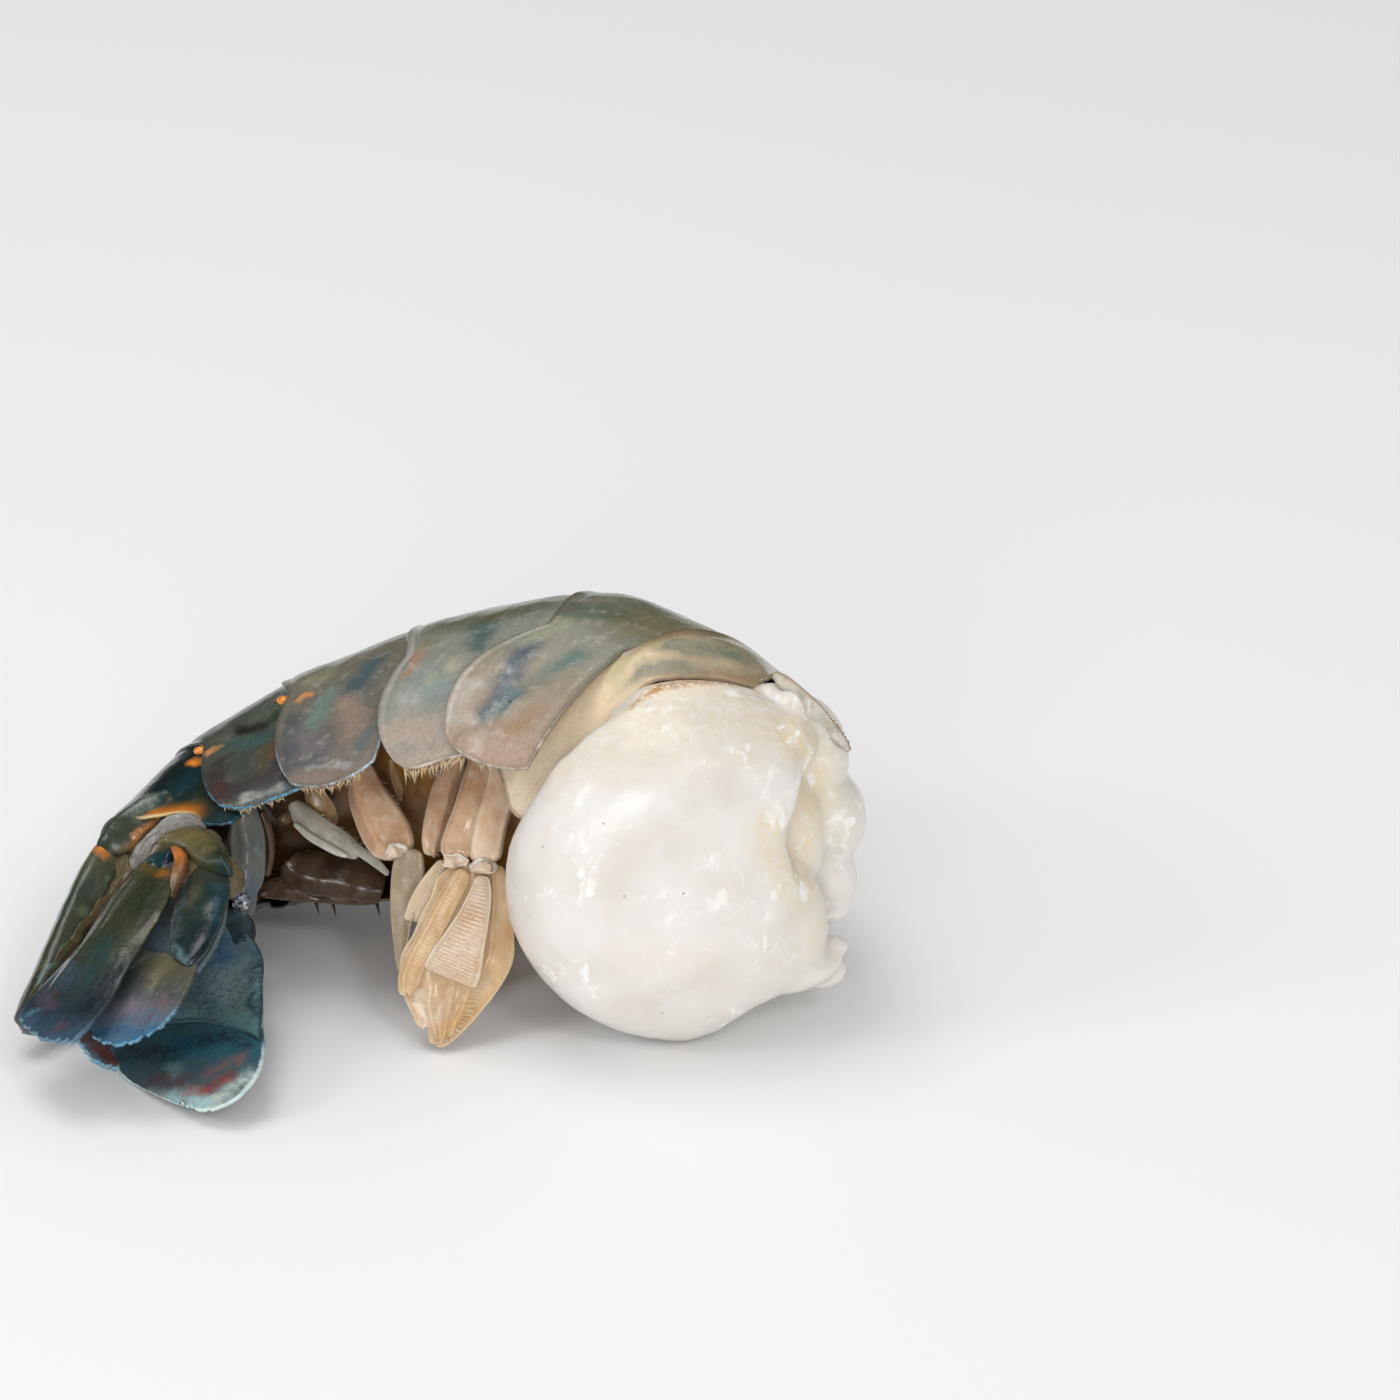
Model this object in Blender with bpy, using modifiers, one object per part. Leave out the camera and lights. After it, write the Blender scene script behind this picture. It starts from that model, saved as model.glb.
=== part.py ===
"""Raw freshwater prawn: a headless tail in its shell, lying on its left side with its belly to the front.

The tail is a chain of six shelled segments and a telson. Each segment has a frame of its own: X runs
towards the tail, Y to the prawn's right (which is up, as it lies) and Z to its back. The body is one
smooth skin along that chain. The meat fills it and the shells tile it, each a little outside the next.
"""

import math

import bmesh
import bpy
from mathutils import Matrix, Vector

MM = 0.001  # sizes below are in millimetres and degrees

# How the prawn lies: the middle of its cut face, and the way its first segment points.
CUT_CENTRE = (25.6, -4.97, 19.2)
HEADING, PITCH, LEAN = 101.0, 2.0, 78.3

# Each segment's length, then its bend to the belly, swing to the right and roll from the one before.
SEGMENTS = (
    (9.0, 0.0, 0.0, 0.0),
    (12.0, 37.0, 5.5, -7.0),
    (16.2, 28.0, 1.0, 3.0),
    (13.0, 8.0, -5.0, 0.5),
    (10.5, 17.5, -3.5, 6.0),
    (13.5, 40.0, 11.0, 3.0),
    (24.5, 11.5, -18.0, 0.0),
)
# Half width and height of the back at the cut face and at the six joints behind it.
HALF_WIDTHS = (19.0, 19.2, 19.0, 14.5, 11.3, 9.0, 6.8)
BACKS = (18.0, 17.2, 17.5, 16.0, 12.6, 10.2, 6.0)

SHELL_WALL = 0.6
CLEARANCE = 0.33
LIFT = 0.95  # how far a shell's rear edge stands out over the shell behind it
TUCK, COVER = 0.14, 0.08  # parts of a segment that a shell reaches forwards under and back over others
HINGE_GAP = 0.1  # part of a segment left open between two shells at their hinge
HINGE_RISE = (22, 50)  # angles round the body between which the hinge gap turns into an overlap
STAND_OUT = (0.42, 0.16)  # a shell leaves the skin and is fully out this far ahead of the joint behind it
CORNER = 0.35  # the part of a flap's length that each lower corner is rounded over
BACK_ROWS, FLAP_ROWS, LENGTH_ROWS = 14, 4, 5

# The flap that hangs beside the belly: depth, where its edges end along the segment, how far its rear
# edge bows out, how round its lower corners are, and how much its tip curls in.
FLAPS = {
    1: dict(depth=19.0, front=2.0, rear=8.5, bow=0.0, front_corner=2.0, rear_corner=3.0, curl=0.45),
    2: dict(depth=19.2, front=-0.8, rear=11.0, bow=3.6, front_corner=0.8, rear_corner=1.6, curl=0.12),
    3: dict(depth=19.2, front=2.5, rear=13.6, bow=1.4, front_corner=1.5, rear_corner=2.4, curl=0.10),
    4: dict(depth=17.3, front=1.0, rear=10.8, bow=0.8, front_corner=1.5, rear_corner=1.8, curl=0.08),
    5: dict(depth=17.2, front=0.0, rear=9.8, bow=0.9, front_corner=0.6, rear_corner=3.2, curl=0.08),
    6: dict(depth=10.0, front=1.0, rear=10.0, bow=-2.5, front_corner=2.5, rear_corner=0.5, curl=0.12),
}
FLOOR_SIDE_DEPTH = 0.6  # the flaps that the prawn lies on are pressed in
FLOOR_SIDE_CURLS = (0.12, 0.3, 0.3, 0.3, 0.3, 0.3)

# The meat: its depth below the hinge lines at the cut face and the joints, then the cut end that
# bulges out of the shell as profile points (forwards from the cut face, share of the full radius).
BELLIES = (18.6, 10.5, 8.5, 7.5, 6.0, 5.0, 3.6)
BULGE = ((0.0, 0.99), (2.0, 1.04), (5.2, 1.07), (8.6, 1.03), (11.8, 0.89), (13.8, 0.64), (14.9, 0.33), (15.2, 0.0))
MEAT_END, END_ROWS = 5.8, 3
MEAT_AROUND, MEAT_ALONG = 28, 30
BULGE_START = 0.3  # the bulge rests on the floor from this part of a segment ahead of the cut face

# Flat plates run from a root to a tip in the frame of their segment, their width along an edge vector.
# Rise is where they reach full width, end the share of it left at the tip.
BESIDE, LEVEL, OUTWARD = (0, 0, -1), (0, 1, 0), (1, 0, 0)
BLUNT = 0.72  # how far along a plate its rounded tip starts
FAN = {
    "telson": dict(root=(0.4, 0.6, 0.8), tip=(26.4, 1.8, 2.2), width=10.6, thick=4.4, edge=LEVEL,
                   rise=0.14, end=0.40),
    "uropod_base_right": dict(root=(1.6, 5.6, -4.4), tip=(2.6, 6.0, -16.6), width=6.4, thick=5.0, edge=OUTWARD),
    "endopod_right": dict(root=(4.9, 6.9, -7.6), tip=(29.8, 6.9, -8.8), width=10.4, thick=1.3, edge=BESIDE, end=0.7),
    "exopod_right": dict(root=(6.2, 4.6, -14.2), tip=(30.6, 4.2, -17.8), width=12.6, thick=1.4, edge=BESIDE, end=0.7),
    "uropod_base_left": dict(root=(1.6, -5.2, -5.6), tip=(1.2, -5.6, -13.6), width=4.4, thick=3.6, edge=OUTWARD),
    "endopod_left": dict(root=(3.6, -6.9, -6.2), tip=(27.2, -5.2, -5.0), width=9.6, thick=1.2, edge=BESIDE, end=0.7),
    "exopod_left": dict(root=(3.8, -4.9, -11.0), tip=(32.4, -3.8, -22.6), width=12.8, thick=1.4, edge=BESIDE,
                        end=0.75, level=1.55),
}
# The swimming legs, each on its segment: a flat stalk from root to knee, then blades from the knee.
# A blade has its shift along the knee, its tip and its width.
SWIMMERETS = {
    "swimmeret_1_right": dict(segment=2, root=(11.0, 10.6, -9.6), knee=(8.5, 4.4, -20.7), width=6.6,
                              blades=((-1.6, (5.8, -8.3, -34.2), 6.8), (2.1, (11.8, -5.3, -29.4), 4.2))),
    "swimmeret_1_left": dict(segment=2, root=(9.7, -7.7, -10.6), knee=(8.0, -5.5, -16.0), width=5.0,
                             blades=((0.0, (5.9, -9.0, -30.5), 7.0),)),
    "swimmeret_2_right": dict(segment=3, root=(8.9, 11.0, -8.4), knee=(11.6, 1.9, -16.5), width=3.8,
                              blades=((0.2, (13.8, -3.7, -20.7), 3.4),)),
    "swimmeret_2_left": dict(segment=3, root=(9.4, -7.7, -9.8), knee=(10.2, -8.4, -15.2), width=3.8,
                             blades=((0.3, (13.7, -11.1, -23.7), 5.4),)),
    "swimmeret_3_right": dict(segment=4, root=(6.4, 8.0, -9.0), knee=(1.5, 1.0, -16.5), width=4.4,
                              blades=((-0.2, (4.2, -9.0, -23.1), 3.9),)),
    "swimmeret_3_left": dict(segment=4, root=(6.3, -6.0, -10.6), knee=(1.5, -8.6, -13.6), width=4.4,
                             blades=((-0.6, (-2.4, -10.9, -16.1), 3.8),)),
    "swimmeret_4_right": dict(segment=5, root=(2.4, 5.1, -9.6), knee=(-0.8, -1.6, -14.3), width=3.8,
                              blades=((-0.4, (-4.7, -4.6, -17.2), 2.8),)),
    "swimmeret_4_left": dict(segment=5, root=(6.5, -3.0, -8.4), knee=(3.1, -5.4, -10.4), width=3.8,
                             blades=((-0.6, (-2.3, -8.0, -12.6), 3.8),)),
    "swimmeret_5_right": dict(segment=5, root=(8.4, 5.2, -9.8), knee=(11.2, -1.2, -12.2), width=3.6, blades=()),
}
STALK_THICK, BLADE_THICK, KNEE_GAP = 2.0, 0.9, 1.1

SHELL_SHADES = ((0.42, 0.40, 0.28), (0.36, 0.37, 0.30), (0.34, 0.35, 0.31), (0.22, 0.26, 0.24), (0.06, 0.10, 0.11),
                (0.05, 0.08, 0.07))


def through(values, place):
    """The smooth curve through the values, one at each whole number, read at any place between."""
    last = len(values) - 1
    here = min(max(math.floor(place), 0), last - 1)
    t = place - here
    p0, p1, p2, p3 = (values[min(max(here + step, 0), last)] for step in (-1, 0, 1, 2))
    return 0.5 * (2 * p1 + (p2 - p0) * t + (2 * p0 - 5 * p1 + 4 * p2 - p3) * t**2
                  + (3 * (p1 - p2) + p3 - p0) * t**3)


def ramp(value, start, end):
    """0 before the start, 1 past the end, and smooth between."""
    t = min(max((value - start) / (end - start), 0.0), 1.0)
    return t * t * (3 - 2 * t)


def lay_chain():
    """The joints from the cut face to the telson's tip, and each segment's turn."""
    turn = (Matrix.Rotation(math.radians(HEADING), 3, "Z") @ Matrix.Rotation(-math.radians(PITCH), 3, "Y")
            @ Matrix.Rotation(math.radians(LEAN), 3, "X"))
    joints, turns = [Vector(CUT_CENTRE)], []
    for length, bend, swing, roll in SEGMENTS:
        turn = (turn @ Matrix.Rotation(math.radians(bend), 3, "Y") @ Matrix.Rotation(math.radians(swing), 3, "Z")
                @ Matrix.Rotation(math.radians(roll), 3, "X"))
        turns.append(turn.to_quaternion())
        joints.append(joints[-1] + turn @ Vector((length, 0, 0)))
    return joints, turns


JOINTS, TURNS = lay_chain()


def body_turn(place):
    """The body's turn at a place along it: a segment's own at its middle, and even between."""
    here = min(max(math.floor(place - 0.5), 0), 4)
    return TURNS[here].slerp(TURNS[here + 1], min(max(place - 0.5 - here, 0.0), 1.0))


def body_centre(place):
    if place < 0:
        return JOINTS[0] + body_turn(0) @ Vector((place * SEGMENTS[0][0], 0, 0))
    return through(JOINTS[:-1], place)


def skin(place, angle, out):
    """A point of the skin: angle 0 is the right hinge line, 90 the back and 180 the left hinge line."""
    across = (through(HALF_WIDTHS, place) + out) * math.cos(math.radians(angle))
    up = (through(BACKS, place) + out) * math.sin(math.radians(angle))
    return body_centre(place) + body_turn(place) @ Vector((0, across, up))


def rested(point, out):
    """The skin is pressed flat where the prawn lies on it, each layer on the one outside it."""
    return Vector((point.x, point.y, max(point.z, LIFT - out)))


def material(name, colour, roughness):
    made = bpy.data.materials.new(name)
    made.use_nodes = True
    shader = made.node_tree.nodes["Principled BSDF"]
    shader.inputs["Base Color"].default_value = (*colour, 1)
    shader.inputs["Roughness"].default_value = roughness
    shader.inputs["Metallic"].default_value = 0
    return made


def formed(name, collection, look, make, place_of):
    """A primitive from bmesh whose every vertex goes to place_of(its own place), as a named object."""
    mesh = bpy.data.meshes.new(name)
    bm = bmesh.new()
    make(bm)
    for vertex in bm.verts:
        vertex.co = place_of(vertex.co.copy()) * MM
    if bm.calc_volume(signed=True) < 0:
        bmesh.ops.reverse_faces(bm, faces=bm.faces)
    bm.to_mesh(mesh)
    bm.free()
    mesh.shade_smooth()
    mesh.materials.append(look)
    part = bpy.data.objects.new(name, mesh)
    collection.objects.link(part)
    return part


def shell_point(number, s, row):
    """A point of a shell's outer face: s from its front edge to its rear, row from the right flap's tip
    over the back to the left flap's tip."""
    first, last = number == 1, number == len(FLAPS)
    angle = min(max((row - FLAP_ROWS) / BACK_ROWS, 0.0), 1.0) * 180
    height = min(angle, 180 - angle)
    hang = max(FLAP_ROWS - row, row - FLAP_ROWS - BACK_ROWS, 0) / FLAP_ROWS
    up_back = ramp(height, *HINGE_RISE)
    front = 0.0 if first else number - 1 + HINGE_GAP / 2 - (TUCK + HINGE_GAP / 2) * up_back
    rear = number if last else number - HINGE_GAP / 2 + (COVER + HINGE_GAP / 2) * up_back
    place = front + (rear - front) * s
    lifted = 0.0 if last else ramp(place, number - STAND_OUT[0], number - STAND_OUT[1])
    above = max(ramp(height, 0, HINGE_RISE[0]) - hang, 0.0)
    if first:
        lifted *= above
    if number == 2:
        lifted = max(lifted, 1 - above)
    out = LIFT * lifted
    if not hang:
        return rested(skin(place, angle, out), out)
    side = 1 if row < FLAP_ROWS else -1
    flap = FLAPS[number]
    depth, curl = flap["depth"], flap["curl"]
    if side < 0:
        depth, curl = depth * FLOOR_SIDE_DEPTH, FLOOR_SIDE_CURLS[number - 1]
    hinge = skin(place, angle, out)
    own = TURNS[number - 1]
    right = body_turn(place) @ Vector((0, 1, 0))
    back = own @ Vector((0, 0, 1))
    back = (back - right * back.dot(right)).normalized()
    along = right.cross(back)
    front_x, rear_x = (flap_edge(number, side, end, hang) for end in (0, 1))
    x = front_x + (rear_x - front_x) * s
    corner = flap["front_corner"] * max(1 - s / CORNER, 0) ** 2
    corner += flap["rear_corner"] * max(1 - (1 - s) / CORNER, 0) ** 2
    drop = depth * hang - corner * hang**3
    curled = side * curl * through(HALF_WIDTHS, place) * hang**2
    hinge_x = (hinge - JOINTS[number - 1]).dot(own @ Vector((1, 0, 0)))
    point = hinge + along * (x - hinge_x) - back * drop - right * curled
    return rested(point, out)


def flap_edge(number, side, end, hang):
    """How far along the segment a flap's front (end 0) or rear (end 1) edge is, at its hang."""
    flap = FLAPS[number]
    place = number - 1 + HINGE_GAP / 2 + end * (1 - HINGE_GAP)
    if number == 1 and not end:
        place = 0.0
    hinge = skin(place, 0 if side > 0 else 180, 0)
    start = (hinge - JOINTS[number - 1]).dot(TURNS[number - 1] @ Vector((1, 0, 0)))
    if side < 0:
        bend = SEGMENTS[number - 1 + end][1]
        inwards = flap["depth"] * FLOOR_SIDE_DEPTH * hang * math.tan(math.radians(bend / 2))
        return start + (1 - 2 * end) * inwards
    tip, bow = (flap["rear"], flap["bow"]) if end else (flap["front"], 0.0)
    return start + (tip - start) * hang**2 + bow * 4 * hang * (1 - hang)


def add_shell(number, collection, look):
    rows = BACK_ROWS + 2 * FLAP_ROWS

    def make(bm):
        bmesh.ops.create_grid(bm, x_segments=LENGTH_ROWS, y_segments=rows, size=1)

    def place_of(co):
        return shell_point(number, (co.x + 1) / 2, round((co.y + 1) / 2 * rows))

    shell = formed(f"shell_{number}", collection, look, make, place_of)
    centre = body_centre(number - 0.5) * MM
    middle = shell.data.polygons[len(shell.data.polygons) // 2]
    if middle.normal.dot(middle.center - centre) < 0:
        shell.data.flip_normals()
    wall = shell.modifiers.new("wall", "SOLIDIFY")
    wall.thickness = SHELL_WALL * MM
    wall.offset = -1
    return shell


def meat_point(co):
    """The meat from its bulging cut end, through the inside of the shells, to a blunt end in the last."""
    row = (1 - math.acos(min(max(co.z, -1), 1)) / math.pi) * MEAT_ALONG
    angle = math.atan2(co.y, co.x)
    bulge_rows = len(BULGE) - 1
    size, place = 1.0, 0.0
    if row < bulge_rows:
        forwards, size = BULGE[round(bulge_rows - row)]
        place = -forwards / SEGMENTS[0][0]
    else:
        place = (row - bulge_rows) / (MEAT_ALONG - bulge_rows) * MEAT_END
        size = math.sqrt(max(1 - max(1 - (MEAT_ALONG - row) / END_ROWS, 0) ** 2, 0)) * BULGE[0][1]
    inset = SHELL_WALL + CLEARANCE
    ring = max(place, 0)
    across = (through(HALF_WIDTHS, ring) - inset) * math.cos(angle)
    up = (through(BACKS, ring) - inset) if angle > 0 else through(BELLIES, ring)
    point = body_centre(place) + body_turn(place) @ Vector((0, across, up * math.sin(angle))) * size
    bulging = ramp(-place, 0, BULGE_START)
    return rested(point, LIFT * bulging - inset * (1 - bulging))


def add_meat(collection, look):
    def make(bm):
        bmesh.ops.create_uvsphere(bm, u_segments=MEAT_AROUND, v_segments=MEAT_ALONG, radius=1)

    return formed("meat", collection, look, make, meat_point)


def plate_point(plate, co):
    """A flat plate between its root and its tip: full width from its rise on, then narrowing to its end."""
    t = 1 - math.acos(min(max(co.z, -1), 1)) / math.pi
    angle = math.atan2(co.y, co.x)
    rise, end = plate.get("rise", 0.5), plate.get("end", 0.8)
    root, tip = Vector(plate["root"]), Vector(plate["tip"])
    along = (tip - root).normalized()
    across = Vector(plate["edge"])
    across = (across - along * across.dot(along)).normalized()
    full = math.sin(min(t / rise, 1) * math.pi / 2) ** 0.7 * (1 - (1 - end) * max(t - rise, 0) / (1 - rise))
    full *= math.sqrt(max(1 - max((t - BLUNT) / (1 - BLUNT), 0) ** 2, 0))
    wide = plate["width"] / 2 * full * math.cos(angle)
    thick = plate["thick"] / 2 * min(full * 1.5, 1) * (1 - 0.4 * t) * math.sin(angle)
    joint, turn = JOINTS[plate["segment"] - 1], TURNS[plate["segment"] - 1]
    middle = joint + turn @ (root + (tip - root) * t + across * wide)
    middle.z = max(middle.z, plate.get("level", 0) + plate["thick"] / 2)
    return middle + turn @ along.cross(across) * thick


def add_plate(name, plate, collection, look, around=12, along=10):
    def make(bm):
        bmesh.ops.create_uvsphere(bm, u_segments=around, v_segments=along, radius=1)

    return formed(name, collection, look, make, lambda co: plate_point(plate, co))


def add_swimmeret(name, swimmeret, collection, look):
    """A swimming leg: its stalk, and the blades that hang from the stalk's knee."""
    root, knee = Vector(swimmeret["root"]), Vector(swimmeret["knee"])
    flat = dict(segment=swimmeret["segment"], edge=OUTWARD)
    stalk = dict(flat, root=root, tip=knee, width=swimmeret["width"], thick=STALK_THICK, rise=0.3, end=0.85)
    add_plate(name, stalk, collection, look, around=8, along=6)
    for number, (shift, tip, width) in enumerate(swimmeret["blades"], 1):
        start = knee + Vector(OUTWARD) * shift
        start += (Vector(tip) - start).normalized() * KNEE_GAP
        blade = dict(flat, root=start, tip=tip, width=width, thick=BLADE_THICK, rise=0.35, end=0.7)
        add_plate(f"{name}_blade_{number}", blade, collection, look, around=8, along=8)


def main():
    for old in list(bpy.data.objects):
        bpy.data.objects.remove(old, do_unlink=True)
    prawn = bpy.data.collections.new("freshwater_prawn")
    bpy.context.scene.collection.children.link(prawn)
    add_meat(prawn, material("flesh", (0.86, 0.80, 0.70), 0.3))
    for number, shade in enumerate(SHELL_SHADES, 1):
        add_shell(number, prawn, material(f"shell_{number}", shade, 0.28))
    fan = material("fan", (0.05, 0.09, 0.11), 0.3)
    for name, plate in FAN.items():
        add_plate(name, dict(plate, segment=7), prawn, fan)
    swimmeret_look = material("swimmeret", (0.62, 0.46, 0.32), 0.35)
    for name, swimmeret in SWIMMERETS.items():
        add_swimmeret(name, swimmeret, prawn, swimmeret_look)


main()
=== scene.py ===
import math
import random

import bpy
from mathutils import Matrix, Vector, noise


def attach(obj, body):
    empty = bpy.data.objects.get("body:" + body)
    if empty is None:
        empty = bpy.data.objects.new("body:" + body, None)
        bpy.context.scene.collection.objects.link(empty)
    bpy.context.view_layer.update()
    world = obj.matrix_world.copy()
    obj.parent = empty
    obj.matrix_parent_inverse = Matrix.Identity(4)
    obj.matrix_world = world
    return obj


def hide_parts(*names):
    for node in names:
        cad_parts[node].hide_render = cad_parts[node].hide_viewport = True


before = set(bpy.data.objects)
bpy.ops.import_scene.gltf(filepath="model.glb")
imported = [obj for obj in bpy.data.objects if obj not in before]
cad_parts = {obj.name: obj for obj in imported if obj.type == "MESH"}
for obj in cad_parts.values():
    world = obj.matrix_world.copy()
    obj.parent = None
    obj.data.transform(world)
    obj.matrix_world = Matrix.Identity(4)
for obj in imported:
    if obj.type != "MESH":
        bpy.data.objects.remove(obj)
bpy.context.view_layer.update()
mm = 0.001
print("frame loaded:", len(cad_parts), "nodes")

# The tail is the CAD's chain of segments. In a segment's own frame +X runs to the tail, +Y to the prawn's
# right flank (up, as it lies) and +Z to its back. Everything below is in millimetres and degrees.
tail = {
    "cutCentre": (25.6, -4.97, 19.2),
    "heading": 101,
    "pitch": 2,
    "lean": 78.3,
    # length, then bend to the belly, swing to the right and roll from the segment ahead
    "segments": ((9, 0, 0, 0), (12, 37, 5.5, -7), (16.2, 28, 1, 3), (13, 8, -5, 0.5),
                 (10.5, 17.5, -3.5, 6), (13.5, 40, 11, 3), (24.5, 11.5, -18, 0)),
    # at the cut face and at the six joints behind it
    "halfWidths": (19.0, 19.2, 19.0, 14.5, 11.3, 9.0, 6.8),
    "backs": (18.0, 17.2, 17.5, 16.0, 12.6, 10.2, 6.0),
    "bellies": (18.6, 10.5, 8.5, 7.5, 6.0, 5.0, 3.6),
}
xAxis, yAxis, zAxis = Vector((1, 0, 0)), Vector((0, 1, 0)), Vector((0, 0, 1))


def table(text):
    # rows of numbers, parted by line ends or semicolons
    rows = (row.split() for row in text.replace(";", "\n").splitlines())
    return [tuple(map(float, row)) for row in rows if row]


def through(values, place):
    # a smooth curve through evenly spaced values
    last = len(values) - 1
    here = min(max(math.floor(place), 0), last - 1)
    t = place - here
    p0, p1, p2, p3 = (values[min(max(here + step, 0), last)] for step in (-1, 0, 1, 2))
    return 0.5 * (2 * p1 + (p2 - p0) * t + (2 * p0 - 5 * p1 + 4 * p2 - p3) * t**2
                  + (3 * (p1 - p2) + p3 - p0) * t**3)


def ramp(value, start, end):
    t = min(max((value - start) / (end - start), 0), 1)
    return t * t * (3 - 2 * t)


def bump(value, middle, reach):
    return 1 - ramp(abs(value - middle), 0, reach)


def along(rows, value):
    # a value read off a list of (place, value) rows
    for (place, first), (nextPlace, second) in zip(rows, rows[1:]):
        if value <= nextPlace:
            return first + (second - first) * ramp(value, place, nextPlace)
    return rows[-1][1]


def turned(degrees, axis):
    return Matrix.Rotation(math.radians(degrees), 3, axis)


def layTail():
    turn = turned(tail["heading"], "Z") @ turned(-tail["pitch"], "Y") @ turned(tail["lean"], "X")
    joints = [Vector(tail["cutCentre"])]
    turns = []
    for length, bend, swing, roll in tail["segments"]:
        turn = turn @ turned(bend, "Y") @ turned(swing, "Z") @ turned(roll, "X")
        turns.append(turn.to_quaternion())
        joints.append(joints[-1] + turn @ Vector((length, 0, 0)))
    return joints, turns


joints, turns = layTail()


def turnAt(place):
    here = min(max(math.floor(place - 0.5), 0), 4)
    return turns[here].slerp(turns[here + 1], min(max(place - 0.5 - here, 0), 1))


def centreAt(place):
    if place < 0:
        return joints[0] + turnAt(0) @ Vector((place * tail["segments"][0][0], 0, 0))
    return through(joints[:-1], place)


def skinPoint(place, angle, out):
    # angle 0 is the right hinge line, 90 the back, 180 the left hinge line
    across = (through(tail["halfWidths"], place) + out) * math.cos(math.radians(angle))
    up = (through(tail["backs"], place) + out) * math.sin(math.radians(angle))
    return centreAt(place) + turnAt(place) @ Vector((0, across, up))


def ringPoint(place, angle, across, tall, size, floor):
    # a point of a shrunken ring round the chain, kept above the floor
    across *= math.cos(math.radians(angle))
    tall *= math.sin(math.radians(angle))
    point = centreAt(place) + turnAt(place) @ Vector((0, across, tall)) * size
    point.z = max(point.z, floor)
    return point


def onBall(co):
    # the share of the way from the lower pole, and the angle round the axis
    return 1 - math.acos(min(max(co.z, -1), 1)) / math.pi, math.atan2(co.y, co.x)


def rounded(t, start, end):
    # 1 along a body, falling to 0 over its rounded ends
    front, rear = max(1 - t / start, 0), max((t - 1 + end) / end, 0)
    return math.sqrt(max(1 - front**2, 0)) * math.sqrt(max(1 - rear**2, 0))


def inSegment(number, point):
    return joints[number - 1] + turns[number - 1] @ Vector(point)


def lumps(point, size, seed=0.0):
    return noise.noise(point / size + Vector((seed, seed, seed)))


def noiseAt(x, y, z=0):
    return noise.noise(Vector((x, y, z)))


# modelling helpers: a primitive, its verts put in place, modifiers applied
def clearSelection():
    for item in list(bpy.context.selected_objects):
        item.select_set(False)


def madePiece(name):
    piece = bpy.context.object
    piece.name = piece.data.name = name
    return piece


def gridPiece(name, columns, rows):
    clearSelection()
    bpy.ops.mesh.primitive_grid_add(x_subdivisions=columns, y_subdivisions=rows, size=2)
    return madePiece(name)


def ballPiece(name, around, along):
    clearSelection()
    bpy.ops.mesh.primitive_uv_sphere_add(segments=around, ring_count=along, radius=1)
    return madePiece(name)


def shapeVerts(piece, pointOf, marks=()):
    # pointOf gives a place in mm, or a place and the values of the marks
    values = []
    for vert in piece.data.vertices:
        point, *found = pointOf(vert.co.copy()) if marks else (pointOf(vert.co.copy()),)
        vert.co = point * mm
        values.append(found)
    for mark, column in zip(marks, zip(*values)):
        attribute = piece.data.attributes.new(mark, "FLOAT", "POINT")
        attribute.data.foreach_set("value", column)
    piece.data.update()


def applyModifier(piece, kind, **settings):
    clearSelection()
    bpy.context.view_layer.objects.active = piece
    modifier = piece.modifiers.new(kind.lower(), kind)
    for key, value in settings.items():
        setattr(modifier, key, value)
    bpy.ops.object.modifier_apply(modifier=modifier.name)


def thicken(piece, wall, outwards):
    # the wall grows inwards from the side that faces outwards
    middle = piece.data.polygons[len(piece.data.polygons) // 2]
    if middle.normal.dot(outwards(middle.center)) < 0:
        piece.data.flip_normals()
    applyModifier(piece, "SOLIDIFY", thickness=wall * mm, offset=-1)


def faceOutwards(piece):
    clearSelection()
    piece.select_set(True)
    bpy.context.view_layer.objects.active = piece
    bpy.ops.object.mode_set(mode="EDIT")
    bpy.ops.mesh.select_all(action="SELECT")
    bpy.ops.mesh.normals_make_consistent(inside=False)
    bpy.ops.object.mode_set(mode="OBJECT")


def finishPiece(piece, look, slot, *nodes):
    piece.data.materials.clear()
    piece.data.materials.append(look)
    piece.data.shade_smooth()
    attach(piece, "root")
    if nodes:
        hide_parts(*nodes)
    return piece


# material helpers
def shade(red, green, blue):
    # a colour as it looks on screen, 0 to 255
    def linear(value):
        value /= 255
        return value / 12.92 if value <= 0.04045 else ((value + 0.055) / 1.055) ** 2.4

    return (linear(red), linear(green), linear(blue), 1)


def addNode(tree, kind, inputs=None, **settings):
    made = tree.nodes.new(kind)
    for key, value in settings.items():
        setattr(made, key, value)
    for key, value in (inputs or {}).items():
        if isinstance(value, bpy.types.NodeSocket):
            tree.links.new(value, made.inputs[key])
        else:
            made.inputs[key].default_value = value
    return made


def newLook(name, roughness=0.3, coat=0.6, coatRoughness=0.06, subsurface=0.0, radius=(1, 0.7, 0.5),
            depth=1.0):
    look = bpy.data.materials.new(name)
    look.use_nodes = True
    tree = look.node_tree
    shader = tree.nodes["Principled BSDF"]
    settings = {"Roughness": roughness, "Coat Weight": coat, "Coat Roughness": coatRoughness,
                "Coat IOR": 1.35, "Subsurface Weight": subsurface, "Subsurface Radius": radius,
                "Subsurface Scale": depth * mm}
    for key, value in settings.items():
        shader.inputs[key].default_value = value
    return look, tree, shader


def objectPoint(tree):
    # object coordinates in millimetres
    coords = addNode(tree, "ShaderNodeTexCoord")
    return vectors(tree, "SCALE", coords.outputs["Object"], 1 / mm)


def vectors(tree, operation, first, second=None, output=0):
    inputs = {0: first}
    if second is not None:
        inputs["Scale" if operation == "SCALE" else 1] = second
    return addNode(tree, "ShaderNodeVectorMath", inputs, operation=operation).outputs[output]


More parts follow.
